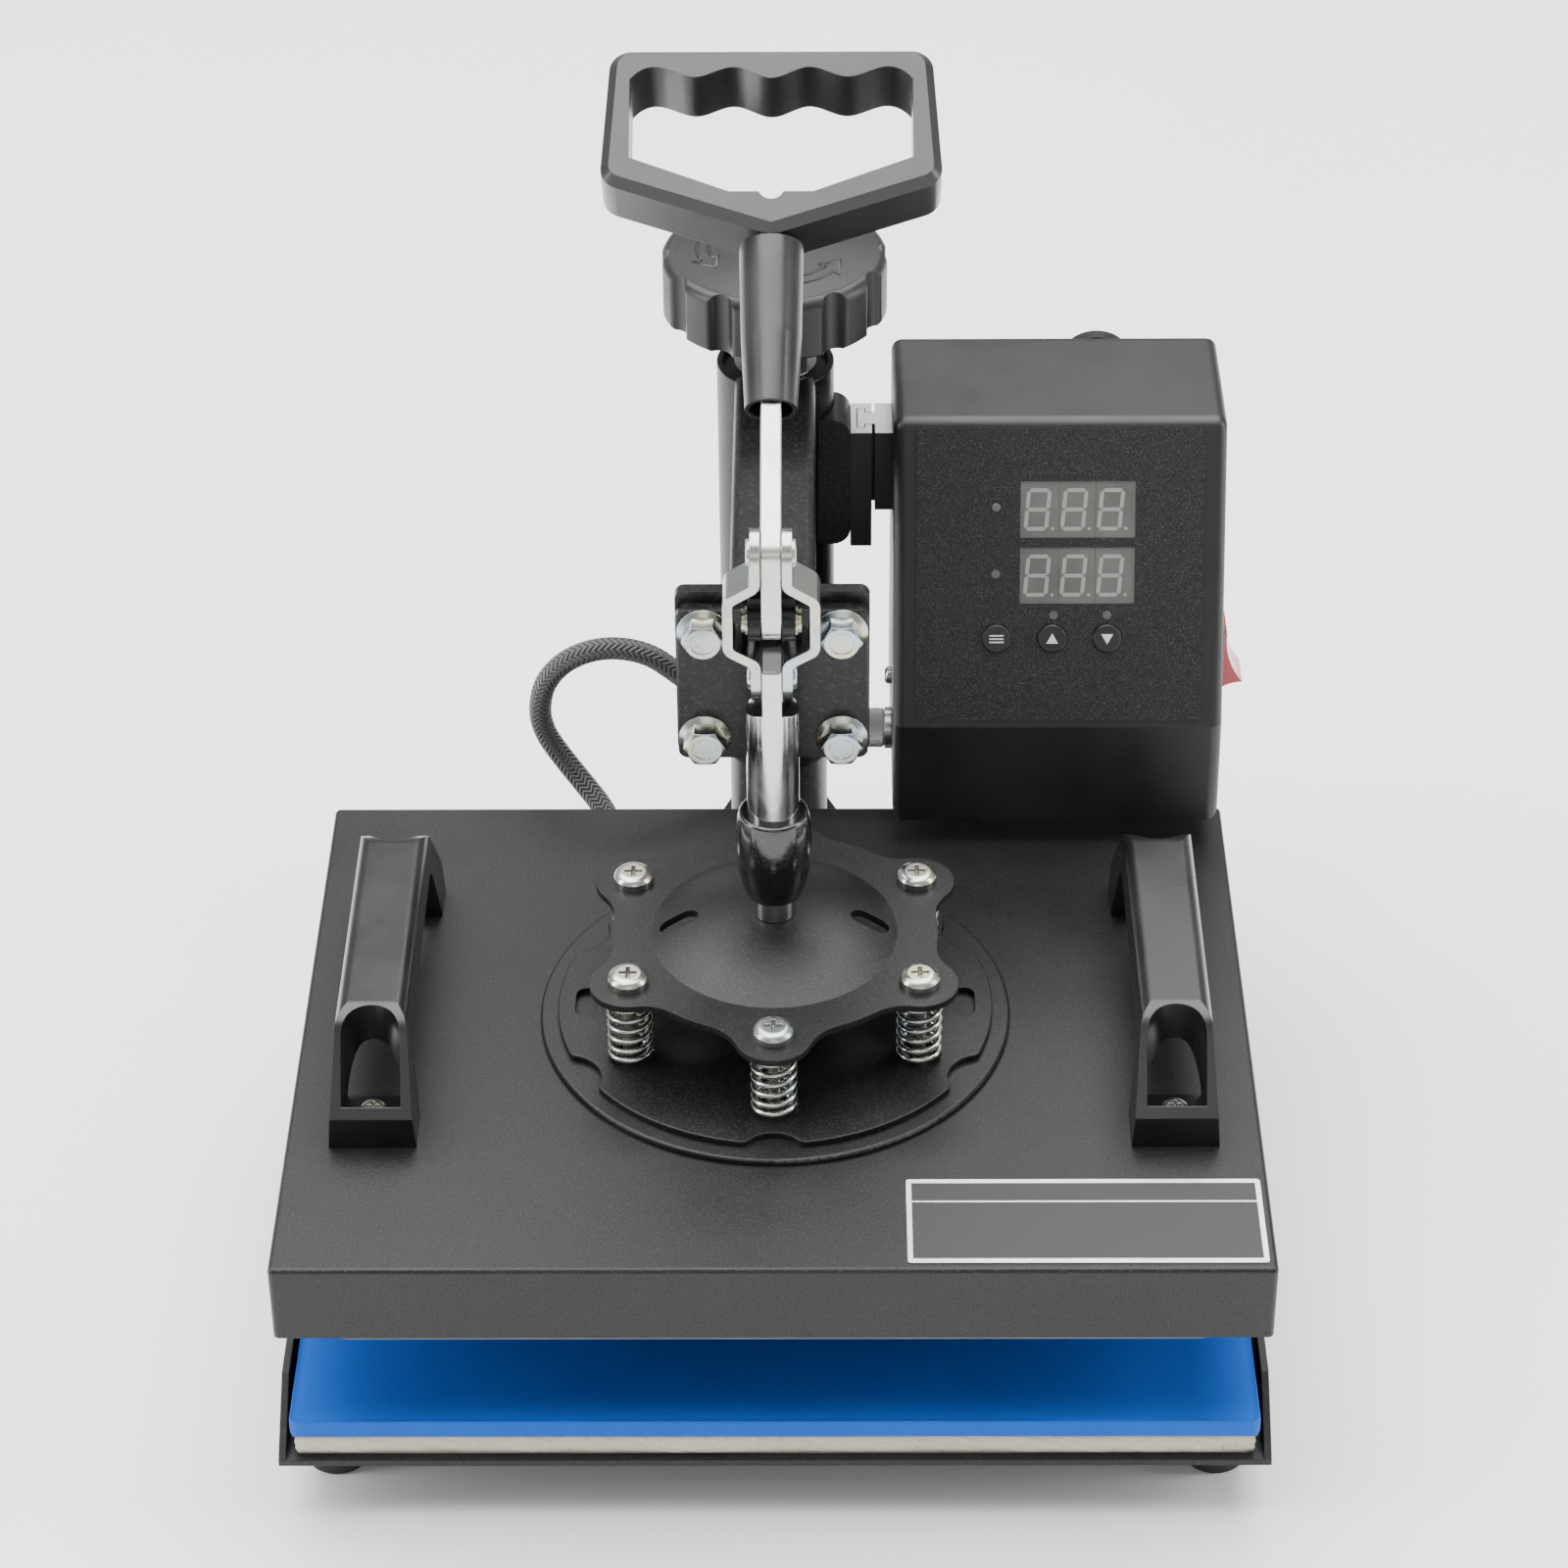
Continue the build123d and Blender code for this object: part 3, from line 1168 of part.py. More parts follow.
# Board behind the panel with a switch under each button, a relay and a transformer.
board_t = 1.6
travel = 1
button_under = board_top + 4
with BuildPart() as circuit_board:
    with BuildSketch(panel_plane.offset(board_top - board_t)):
        RectangleRounded(112, 92, 2)
    extrude(amount=board_t)
    with BuildSketch(panel_plane.offset(board_top)):
        with Locations(*[(u, button_v) for u in button_us.values()]):
            Rectangle(6, 6)
    extrude(amount=4 - travel)
    with BuildSketch(panel_plane.offset(board_top - board_t)):
        with Locations((-30, 10)):
            Rectangle(28, 20)
    extrude(amount=-16)
    with BuildSketch(panel_plane.offset(board_top - board_t)):
        with Locations((22, 8)):
            Rectangle(40, 34)
    extrude(amount=-30)
circuit_board.part.label = "circuit_board"
export_step(circuit_board.part, "parts/circuit_board.step")

# Push buttons: a round cap in the panel and a thin stem down to the board.
button_top = panel_t + 1.3
for name, u in button_us.items():
    with BuildPart() as button:
        with BuildSketch(panel_plane.offset(-4)):
            with Locations((u, button_v)):
                Circle(button_r)
        extrude(amount=4 + button_top)
        fillet(button.faces().filter_by(panel_plane).sort_by(Axis.Z)[-1].edges(), 0.8)
        with BuildSketch(panel_plane.offset(button_under)):
            with Locations((u, button_v)):
                Circle(2)
        extrude(amount=-4 - button_under)
    button.part.label = name
    export_step(button.part, f"parts/{name}.step")

# Rocker switch in the right wall.
bezel_t = 2.2
cavity_half_z = 15.9
cavity_half_y = 9.4
rocker_pin_x = box_right
with BuildPart() as switch_housing:
    with BuildSketch(Plane.YZ.offset(box_right)):
        with Locations((rocker_y, rocker_z)):
            RectangleRounded(25, 38, 1.5)
    extrude(amount=bezel_t)
    fillet(switch_housing.faces().sort_by(Axis.X)[-1].edges(), 0.8)
    with BuildSketch(Plane.YZ.offset(box_right)):
        with Locations((rocker_y, rocker_z)):
            Rectangle(2 * switch_half_y, 2 * switch_half_z)
    extrude(amount=-24)
    with BuildSketch(Plane.YZ.offset(box_right + bezel_t)):
        with Locations((rocker_y, rocker_z)):
            Rectangle(2 * cavity_half_y, 2 * cavity_half_z)
    extrude(amount=-bezel_t - 14, mode=Mode.SUBTRACT)
    with BuildSketch(Plane.XZ.offset(-rocker_y)):
        with Locations((rocker_pin_x, rocker_z)):
            Circle(1.5 + running_gap)
    extrude(amount=cavity_half_y + 1, both=True, mode=Mode.SUBTRACT)
switch_housing.part.label = "switch_housing"
export_step(switch_housing.part, "parts/switch_housing.step")

rocker_end_r = 15.5
rocker_half_y = 9.1
tip_lift = 11.5
tip_drop = sqrt(rocker_end_r**2 - tip_lift**2)
with BuildPart() as rocker:
    with BuildSketch(Plane.XZ.offset(-rocker_y + rocker_half_y)):
        with BuildLine():
            tip = (rocker_pin_x + tip_lift, rocker_z - tip_drop)
            foot = (rocker_pin_x, rocker_z - rocker_end_r)
            head = (rocker_pin_x + 3.6, rocker_z + sqrt(rocker_end_r**2 - 3.6**2))
            crown = (rocker_pin_x, rocker_z + rocker_end_r)
            RadiusArc(foot, tip, rocker_end_r)
            ThreePointArc(tip, (rocker_pin_x + 5.2, rocker_z + 1.5), head)
            RadiusArc(head, crown, rocker_end_r)
            Polyline(crown, (rocker_pin_x - 5, rocker_z + 4), (rocker_pin_x - 5, rocker_z - 4), foot)
        make_face()
    extrude(amount=-2 * rocker_half_y)
    with BuildSketch(Plane.XZ.offset(-rocker_y)):
        with Locations((rocker_pin_x, rocker_z)):
            Circle(1.5)
    extrude(amount=cavity_half_y + 0.9, both=True)
rocker.part.label = "rocker"
export_step(rocker.part, "parts/rocker.step")

# Gland for the power cord: locknut inside, flange and domed cap outside, clear bore.
with BuildPart() as cord_gland:
    with BuildSketch(Plane.YZ.offset(gland_x)):
        Polygon(
            (box_back - 8, gland_z), (box_back - 8, gland_z + 13), (box_back - cover_t, gland_z + 13),
            (box_back - cover_t, gland_z + gland_thread_r), (box_back, gland_z + gland_thread_r),
            (box_back, gland_z + 17), (box_back + 6, gland_z + 17), (box_back + 8, gland_z + 15),
            (box_back + 16, gland_z + 11), (box_back + 18, gland_z + 8), (box_back + 18, gland_z), align=None,
        )
    revolve(axis=Axis((gland_x, 0, gland_z), (0, 1, 0)))
    with BuildSketch(Plane.XZ.offset(-box_back - 20)):
        with Locations((gland_x, gland_z)):
            Circle(gland_bore_r)
    extrude(amount=40, mode=Mode.SUBTRACT)
cord_gland.part.label = "cord_gland"
export_step(cord_gland.part, "parts/cord_gland.step")

# Heater connector: socket through the left wall, and the cable's plug with its coupling ring.
socket_face = box_left - 3
plug_back = cable_route[0][0]
socket_axis = Axis((0, socket_y, socket_z), (1, 0, 0))
with BuildPart() as connector_socket:
    with BuildSketch(Plane.XY.offset(socket_z)):
        with Locations((0, socket_y)):
            Polygon((socket_face, 0), (socket_face, 9.5), (box_left, 9.5), (box_left, 7), (box_left + 10, 7),
                    (box_left + 10, 0), align=None)
    revolve(axis=socket_axis)
connector_socket.part.label = "connector_socket"
export_step(connector_socket.part, "parts/connector_socket.step")

with BuildPart() as connector_plug:
    with BuildSketch(Plane.XY.offset(socket_z)):
        with Locations((0, socket_y)):
            Polygon(
                (plug_back, 0), (plug_back, 6), (plug_back + 4, 6.6), (plug_back + 4, 8.2),
                (plug_back + 5, 9), (socket_face - 1, 9), (socket_face, 8.2), (socket_face, 0), align=None,
            )
    revolve(axis=socket_axis)
connector_plug.part.label = "connector_plug"
export_step(connector_plug.part, "parts/connector_plug.step")
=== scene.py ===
import math
import random

import bmesh
import bpy
from mathutils import Matrix, Vector


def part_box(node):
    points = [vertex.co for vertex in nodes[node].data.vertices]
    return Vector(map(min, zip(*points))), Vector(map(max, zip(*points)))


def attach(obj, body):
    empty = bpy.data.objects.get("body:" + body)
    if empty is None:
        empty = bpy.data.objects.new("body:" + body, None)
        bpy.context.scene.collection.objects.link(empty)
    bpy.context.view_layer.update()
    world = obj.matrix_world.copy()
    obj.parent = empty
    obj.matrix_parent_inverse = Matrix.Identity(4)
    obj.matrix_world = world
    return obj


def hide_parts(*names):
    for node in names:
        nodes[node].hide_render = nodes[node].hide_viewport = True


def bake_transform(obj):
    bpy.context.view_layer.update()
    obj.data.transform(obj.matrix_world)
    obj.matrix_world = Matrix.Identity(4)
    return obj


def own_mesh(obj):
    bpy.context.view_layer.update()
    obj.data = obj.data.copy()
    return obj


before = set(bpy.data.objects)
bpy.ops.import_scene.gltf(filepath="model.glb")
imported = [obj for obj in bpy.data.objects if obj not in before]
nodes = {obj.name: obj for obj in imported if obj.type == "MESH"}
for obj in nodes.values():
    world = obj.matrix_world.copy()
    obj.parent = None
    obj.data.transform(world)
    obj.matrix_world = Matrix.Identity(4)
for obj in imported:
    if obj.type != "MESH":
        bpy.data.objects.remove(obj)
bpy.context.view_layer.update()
MM = 0.001


# ---------------------------------------------------------------- camera
def make_camera():
    pitch, yaw, roll = math.radians(35.88), math.radians(-0.57), math.radians(-0.46)
    forward = Vector((math.sin(yaw) * math.cos(pitch), math.cos(yaw) * math.cos(pitch), -math.sin(pitch)))
    level = Vector((math.cos(yaw), -math.sin(yaw), 0.0))
    above = level.cross(forward)
    right = math.cos(roll) * level + math.sin(roll) * above
    up = -math.sin(roll) * level + math.cos(roll) * above
    data = bpy.data.cameras.new("camera")
    data.lens = 100.0
    data.sensor_width = 36.0
    data.clip_start = 0.05
    camera = bpy.data.objects.new("camera", data)
    bpy.context.scene.collection.objects.link(camera)
    turn = Matrix((right, up, -forward)).transposed().to_4x4()
    camera.matrix_world = Matrix.Translation((0.0188, -1.442, 1.303)) @ turn
    bpy.context.scene.camera = camera


make_camera()


# ---------------------------------------------------------------- meshes
def add_object(name, data):
    piece = bpy.data.objects.new(name, data)
    bpy.context.scene.collection.objects.link(piece)
    return piece


def mesh_piece(name, verts, faces, smooth=True):
    mesh = bpy.data.meshes.new(name)
    mesh.from_pydata([tuple(v) for v in verts], [], faces)
    mesh.update()
    for face in mesh.polygons:
        face.use_smooth = smooth
    return add_object(name, mesh)


def dress(piece, material, body):
    piece.data.materials.clear()
    piece.data.materials.append(material)
    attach(piece, body)
    return piece


# ---------------------------------------------------------------- heater cable
CABLE_ROUTE = [
    (29.5, 172, 167), (10, 172, 167), (-11, 174.5, 171.5), (-31, 177, 181), (-46, 178, 194),
    (-58.1, 178, 204.1), (-76, 178, 207.6), (-93.2, 178.5, 201.7), (-105.1, 180, 187.9), (-108.6, 182, 170),
    (-106.5, 184.5, 156), (-100, 185.5, 143), (-90, 182.5, 129.5), (-79.5, 173, 120.5), (-74.5, 159.2, 116),
    (-74.5, 143.2, 116),
]
CABLE_R = 5.1 * MM


def spline_points(route):
    """Points along the smooth curve that the route steers."""
    curve = bpy.data.curves.new("cable_line", "CURVE")
    curve.dimensions = "3D"
    curve.resolution_u = 14
    spline = curve.splines.new("NURBS")
    spline.points.add(len(route) - 1)
    for point, place in zip(spline.points, route):
        point.co = (place[0] * MM, place[1] * MM, place[2] * MM, 1.0)
    spline.order_u = 3
    spline.use_endpoint_u = True
    holder = bpy.data.objects.new("cable_line", curve)
    line = bpy.data.meshes.new_from_object(holder)
    points = [v.co.copy() for v in line.vertices]
    bpy.data.objects.remove(holder)
    bpy.data.meshes.remove(line)
    return points


def tube_along(name, points, radius, sides):
    """Closed tube round the points, with a UV map of metres along and turns round."""
    verts, faces, along = [], [], [0.0]
    for a, b in zip(points, points[1:]):
        along.append(along[-1] + (b - a).length)
    normal = Vector((0, 0, 1))
    for i, point in enumerate(points):
        ahead = points[min(i + 1, len(points) - 1)] - points[max(i - 1, 0)]
        ahead.normalize()
        normal = (normal - ahead * normal.dot(ahead)).normalized()
        across = ahead.cross(normal)
        for s in range(sides):
            angle = 2 * math.pi * s / sides
            verts.append(point + (normal * math.cos(angle) + across * math.sin(angle)) * radius)
    count = len(points)
    for i in range(count - 1):
        for s in range(sides):
            t = (s + 1) % sides
            faces.append((i * sides + s, i * sides + t, (i + 1) * sides + t, (i + 1) * sides + s))
    faces.append(tuple(reversed(range(sides))))
    faces.append(tuple(range((count - 1) * sides, count * sides)))
    piece = mesh_piece(name, verts, faces)
    layer = piece.data.uv_layers.new(name="length_turn")
    for face in piece.data.polygons:
        wraps = {piece.data.loops[k].vertex_index % sides for k in face.loop_indices} >= {0, sides - 1}
        for k in face.loop_indices:
            row, column = divmod(piece.data.loops[k].vertex_index, sides)
            turn = column / sides
            if wraps and column == 0:
                turn = 1.0
            layer.data[k].uv = (along[min(row, count - 1)], turn)
    return piece, along[-1]


cable_points = spline_points(CABLE_ROUTE)


# ---------------------------------------------------------------- materials
class Look:
    """A node material under construction: a principled shader and helpers that return sockets."""

    def __init__(self, name):
        self.material = bpy.data.materials.new(name)
        self.material.use_nodes = True
        self.tree = self.material.node_tree
        self.tree.nodes.clear()
        self.out = self.tree.nodes.new("ShaderNodeOutputMaterial")
        self.shader = self.tree.nodes.new("ShaderNodeBsdfPrincipled")
        self.tree.links.new(self.shader.outputs[0], self.out.inputs[0])
        coords = self.tree.nodes.new("ShaderNodeTexCoord")
        self.place = coords.outputs["Object"]
        self.uv = coords.outputs["UV"]

    def node(self, kind, **inputs):
        made = self.tree.nodes.new(kind)
        for key, value in inputs.items():
            self.feed(made.inputs[key.replace("_", " ")], value)
        return made

    def feed(self, socket, value):
        if isinstance(value, bpy.types.NodeSocket):
            self.tree.links.new(value, socket)
        else:
            socket.default_value = value

    def noise(self, scale, detail=3.0, rough=0.5, at=None, distortion=0.0):
        made = self.node("ShaderNodeTexNoise", Scale=scale, Detail=detail, Roughness=rough,
                         Distortion=distortion)
        self.feed(made.inputs["Vector"], at or self.place)
        return made.outputs["Fac"]

    def cells(self, scale, at=None, feature="F1"):
        made = self.node("ShaderNodeTexVoronoi", Scale=scale)
        made.feature = feature
        self.feed(made.inputs["Vector"], at or self.place)
        return made.outputs["Distance"]

    def stretch(self, amounts, at=None):
        made = self.node("ShaderNodeMapping", Scale=amounts)
        self.feed(made.inputs["Vector"], at or self.place)
        return made.outputs["Vector"]

    def ramp(self, value, *stops):
        made = self.tree.nodes.new("ShaderNodeValToRGB")
        self.feed(made.inputs["Fac"], value)
        while len(made.color_ramp.elements) < len(stops):
            made.color_ramp.elements.new(0.5)
        for element, (where, colour) in zip(made.color_ramp.elements, stops):
            element.position = where
            element.color = (*colour, 1.0)
        return made.outputs["Color"]

    def span(self, value, low, high, start=0.3, end=0.7):
        made = self.node("ShaderNodeMapRange")
        self.feed(made.inputs["Value"], value)
        made.inputs["From Min"].default_value = start
        made.inputs["From Max"].default_value = end
        made.inputs["To Min"].default_value = low
        made.inputs["To Max"].default_value = high
        return made.outputs["Result"]

    def calc(self, operation, a, b=0.0):
        made = self.tree.nodes.new("ShaderNodeMath")
        made.operation = operation
        self.feed(made.inputs[0], a)
        self.feed(made.inputs[1], b)
        return made.outputs[0]

    def mix(self, share, a, b):
        made = self.tree.nodes.new("ShaderNodeMix")
        made.data_type = "RGBA"
        self.feed(made.inputs["Factor"], share)
        self.feed(made.inputs[6], a if isinstance(a, bpy.types.NodeSocket) else (*a, 1.0))
        self.feed(made.inputs[7], b if isinstance(b, bpy.types.NodeSocket) else (*b, 1.0))
        return made.outputs[2]

    def axes(self, at=None):
        made = self.tree.nodes.new("ShaderNodeSeparateXYZ")
        self.feed(made.inputs[0], at or self.place)
        return made.outputs

    def rounded(self, radius):
        made = self.tree.nodes.new("ShaderNodeBevel")
        made.samples = 4
        made.inputs["Radius"].default_value = radius
        return made.outputs[0]

    def bump(self, height, distance, strength=1.0, normal=None):
        made = self.node("ShaderNodeBump", Strength=strength, Distance=distance)
        self.feed(made.inputs["Height"], height)
        if normal is not None:
            self.feed(made.inputs["Normal"], normal)
        return made.outputs[0]

    def finish(self, colour, roughness, normal=None, metallic=0.0, **fixed):
        self.feed(self.shader.inputs["Base Color"], colour if isinstance(colour, bpy.types.NodeSocket) else
                  (*colour, 1.0))
        self.feed(self.shader.inputs["Roughness"], roughness)
        self.shader.inputs["Metallic"].default_value = metallic
        if normal is not None:
            self.feed(self.shader.inputs["Normal"], normal)
        for key, value in fixed.items():
            self.shader.inputs[key.replace("_", " ")].default_value = value
        return self.material


def powder_coat(name, dark, light, rough, grain=1500.0, depth=0.00006, edge=0.0006):
    look = Look(name)
    patches = look.noise(22.0, 4.0, 0.6)
    speck = look.noise(grain * 0.7, 2.0, 0.6)
    base = look.ramp(patches, (0.3, dark), (0.72, light))
    bright = tuple(min(1.0, c * 2.6 + 0.022) for c in light)
    colour = look.mix(look.span(speck, 0.0, 0.6, 0.52, 0.74), base, bright)
    orange_peel = look.bump(look.noise(260.0, 2.0, 0.5), depth * 1.2, 0.3, look.rounded(edge))
    normal = look.bump(look.noise(grain * 0.6, 3.0, 0.65), depth * 1.6, 0.75, orange_peel)
    return look.finish(colour, look.span(patches, rough - 0.05, rough + 0.06), normal,
                       Specular_IOR_Level=0.34)


def enamel(name, dark, light, rough, wrinkle, depth, coat):
    look = Look(name)
    patches = look.noise(35.0, 4.0, 0.6)
    colour = look.ramp(patches, (0.35, dark), (0.75, light))
    ripple = look.noise(wrinkle, 3.0, 0.55, distortion=0.6)
    normal = look.bump(ripple, depth, 0.6, look.rounded(0.0006))
    return look.finish(colour, look.span(patches, rough - 0.05, rough + 0.07), normal, Coat_Weight=coat,
                       Coat_Roughness=0.08)


def moulded(name, dark, light, rough, grain, depth, coat=0.0, edge=0.0005):
    look = Look(name)
    patches = look.noise(28.0, 3.0, 0.55)
    streaks = look.noise(9.0, 4.0, 0.6, at=look.stretch((1.0, 1.0, 4.0)))
    colour = look.mix(look.span(streaks, 0.0, 0.6), look.ramp(patches, (0.3, dark), (0.75, light)), light)
    fine = look.cells(grain)
    normal = look.bump(fine, depth, 0.5, look.bump(look.noise(90.0, 2.0), depth, 0.35, look.rounded(edge)))
    return look.finish(colour, look.span(patches, rough - 0.05, rough + 0.08), normal, Coat_Weight=coat,
                       Coat_Roughness=0.15)


def plated(name, tone, rough, brush=(1.0, 1.0, 1.0), marks=0.4, tint=0.05, edge=0.0004):
    look = Look(name)
    cloud = look.noise(60.0, 4.0, 0.65)
    dark = tuple(c * (1.0 - marks) for c in tone)
    warm = (min(1.0, tone[0] + tint), tone[1] + tint * 0.6, tone[2] - tint)
    cool = (tone[0] - tint, tone[1], min(1.0, tone[2] + tint))
    hue = look.ramp(look.noise(38.0, 2.0, 0.5), (0.35, warm), (0.65, cool))
    colour = look.mix(look.span(cloud, 0.0, 0.8, 0.55, 0.8), hue, dark)
    lines = look.noise(900.0, 4.0, 0.7, at=look.stretch(brush))
    pits = look.noise(1700.0, 2.0, 0.5)
    normal = look.bump(pits, 0.00002, 0.4, look.bump(lines, 0.00003, 0.5, look.rounded(edge)))
    return look.finish(colour, look.span(cloud, rough - 0.07, rough + 0.12), normal, 1.0)


def silicone():
    look = Look("silicone_blue")
    patches = look.noise(14.0, 4.0, 0.6)
    pores = look.cells(1500.0)
    fine = look.noise(1100.0, 3.0, 0.7)
    base = look.ramp(patches, (0.3, (0.0, 0.075, 0.44)), (0.75, (0.0, 0.1, 0.53)))
    colour = look.mix(look.span(fine, 0.0, 0.5, 0.45, 0.75), base, (0.0, 0.13, 0.62))
    normal = look.bump(fine, 0.00012, 0.55, look.bump(pores, 0.0001, 0.45, look.bump(patches, 0.0006, 0.25)))
    return look.finish(colour, look.span(fine, 0.62, 0.8), normal, Sheen_Weight=0.03, Sheen_Roughness=0.5,
                       Specular_IOR_Level=0.2)


def felt():
    look = Look("felt_natural")
    lay = look.stretch((1.0, 1.0, 3.2))
    hair = look.noise(520.0, 5.0, 0.75, at=lay, distortion=1.6)
    clumps = look.noise(90.0, 4.0, 0.6)
    base = look.ramp(hair, (0.3, (0.36, 0.3, 0.22)), (0.5, (0.68, 0.6, 0.48)), (0.72, (0.86, 0.8, 0.69)))
    fleck = look.span(look.noise(240.0, 2.0, 0.5), 0.0, 0.8, 0.66, 0.76)
    colour = look.mix(fleck, look.mix(look.span(clumps, 0.0, 0.4), base, (0.66, 0.6, 0.5)), (0.36, 0.3, 0.23))
    normal = look.bump(hair, 0.0007, 0.9, look.bump(clumps, 0.0009, 0.5))
    return look.finish(colour, look.span(hair, 0.9, 1.0), normal, Sheen_Weight=0.35, Sheen_Roughness=0.6,
                       Specular_IOR_Level=0.15)


def braid():
    look = Look("braided_sleeve")
    u, v, _ = look.axes(look.uv)
    turns = look.calc("MULTIPLY", v, 2 * math.pi * 6)
    steps = look.calc("MULTIPLY", u, 2 * math.pi * 190)
    one = look.calc("SINE", look.calc("ADD", turns, steps))
    two = look.calc("SINE", look.calc("SUBTRACT", turns, steps))
    over = look.calc("GREATER_THAN", look.calc("SINE", turns), 0.0)
    first = look.calc("MULTIPLY", look.calc("ABSOLUTE", one), over)
    second = look.calc("MULTIPLY", look.calc("ABSOLUTE", two), look.calc("SUBTRACT", 1.0, over))
    weave = look.calc("ADD", first, second)
    threads = look.noise(2600.0, 3.0, 0.6)
    # Painted shade and sheen: the gaps and edges of the threads are painted near black and each thread's
    # crown is painted lighter grey, following the weave relief that the bump also uses.
    colour = look.mix(look.span(weave, 0.0, 1.0, 0.2, 0.95), (0.002, 0.002, 0.0023), (0.085, 0.085, 0.088))
    normal = look.bump(threads, 0.00012, 0.6, look.bump(weave, 0.0009, 1.0))
    return look.finish(look.mix(look.span(threads, 0.0, 0.25), colour, (0.11, 0.11, 0.11)),
                       look.span(threads, 0.45, 0.7), normal, Sheen_Weight=0.25, Sheen_Roughness=0.4)


def knurled(centre_y, centre_z):
    look = Look("knurled_nickel")
    x, y, z = look.axes()
    turn = look.calc("ARCTAN2", look.calc("SUBTRACT", z, centre_z), look.calc("SUBTRACT", y, centre_y))
    turns = look.calc("MULTIPLY", turn, 22.0)
    steps = look.calc("MULTIPLY", x, 2500.0)
    one = look.calc("ABSOLUTE", look.calc("SINE", look.calc("ADD", turns, steps)))
    two = look.calc("ABSOLUTE", look.calc("SINE", look.calc("SUBTRACT", turns, steps)))
    diamonds = look.calc("MULTIPLY", one, two)
    # Painted shade and highlight: the knurl grooves are painted dark and the diamond tops light, following
    # the knurl relief that the bump also uses.
    colour = look.ramp(diamonds, (0.0, (0.16, 0.155, 0.15)), (0.6, (0.72, 0.71, 0.69)))
    normal = look.bump(diamonds, 0.0006, 0.9)
    return look.finish(colour, look.span(diamonds, 0.42, 0.2, 0.0, 0.8), normal, 1.0)


def overlay_film():
    look = Look("overlay_film")
    speck = look.noise(1500.0, 2.0, 0.7)
    patches = look.noise(20.0, 3.0, 0.5)
    base = look.ramp(patches, (0.3, (0.002, 0.002, 0.0022)), (0.75, (0.004, 0.004, 0.0043)))
    colour = look.mix(look.span(speck, 0.0, 0.9, 0.5, 0.72), base, (0.055, 0.055, 0.057))
    normal = look.bump(speck, 0.00005, 0.5)
    return look.finish(colour, look.span(patches, 0.5, 0.6), normal, Specular_IOR_Level=0.4)


def display_window():
    look = Look("display_window")
    cloud = look.noise(45.0, 3.0, 0.5)
    grit = look.noise(1800.0, 2.0, 0.6)
    base = look.ramp(cloud, (0.3, (0.062, 0.06, 0.056)), (0.7, (0.095, 0.092, 0.087)))
    colour = look.mix(look.span(grit, 0.0, 0.3), base, (0.15, 0.145, 0.14))
    return look.finish(colour, look.span(cloud, 0.3, 0.42), look.bump(grit, 0.00002, 0.3), Coat_Weight=0.3,
                       Coat_Roughness=0.2)


def pale_print(name, tone):
    look = Look(name)
    grit = look.noise(1600.0, 3.0, 0.6)
    low = tuple(c * 0.8 for c in tone)
    colour = look.ramp(grit, (0.3, low), (0.7, tone))
    return look.finish(colour, look.span(grit, 0.4, 0.55), look.bump(grit, 0.00002, 0.3))


def brushed_sheet(name, tone, along, rough):
    look = Look(name)
    lines = look.noise(1400.0, 5.0, 0.75, at=look.stretch(along))
    cloud = look.noise(30.0, 3.0, 0.5)
    low = tuple(c * 0.72 for c in tone)
    colour = look.mix(look.span(lines, 0.0, 0.8, 0.3, 0.7), tone, low)
    normal = look.bump(lines, 0.00003, 0.5)
    return look.finish(colour, look.span(cloud, rough - 0.05, rough + 0.1), normal, 1.0)


def cut_profile():
    """Black coated profile whose sawn top is bare metal."""
    look = Look("cut_profile")
    _, _, height = look.axes()
    lines = look.noise(900.0, 4.0, 0.7, at=look.stretch((1.0, 0.1, 1.0)))
    bare = look.calc("GREATER_THAN", height, PROFILE_CUT)
    metal = look.mix(look.span(lines, 0.0, 0.8, 0.3, 0.7), (0.7, 0.7, 0.71), (0.45, 0.45, 0.46))
    patches = look.noise(22.0, 4.0, 0.6)
    paint = look.ramp(patches, (0.3, (0.004, 0.004, 0.0043)), (0.72, (0.009, 0.009, 0.0094)))
    look.feed(look.shader.inputs["Metallic"], bare)
    normal = look.bump(lines, 0.00004, 0.5, look.rounded(0.0004))
    look.feed(look.shader.inputs["Base Color"], look.mix(bare, paint, metal))
    look.feed(look.shader.inputs["Roughness"], look.span(lines, 0.3, 0.46))
    look.feed(look.shader.inputs["Normal"], normal)
    return look.material


def red_switch():
    look = Look("switch_red")
    cloud = look.noise(70.0, 3.0, 0.5)
    colour = look.ramp(cloud, (0.3, (0.44, 0.006, 0.012)), (0.7, (0.62, 0.012, 0.02)))
    normal = look.bump(cloud, 0.0001, 0.15, look.rounded(0.0006))
    return look.finish(colour, look.span(cloud, 0.16, 0.26), normal, Coat_Weight=0.5, Coat_Roughness=0.06,
                       Transmission_Weight=0.1)


PROFILE_CUT = 306.6 * MM
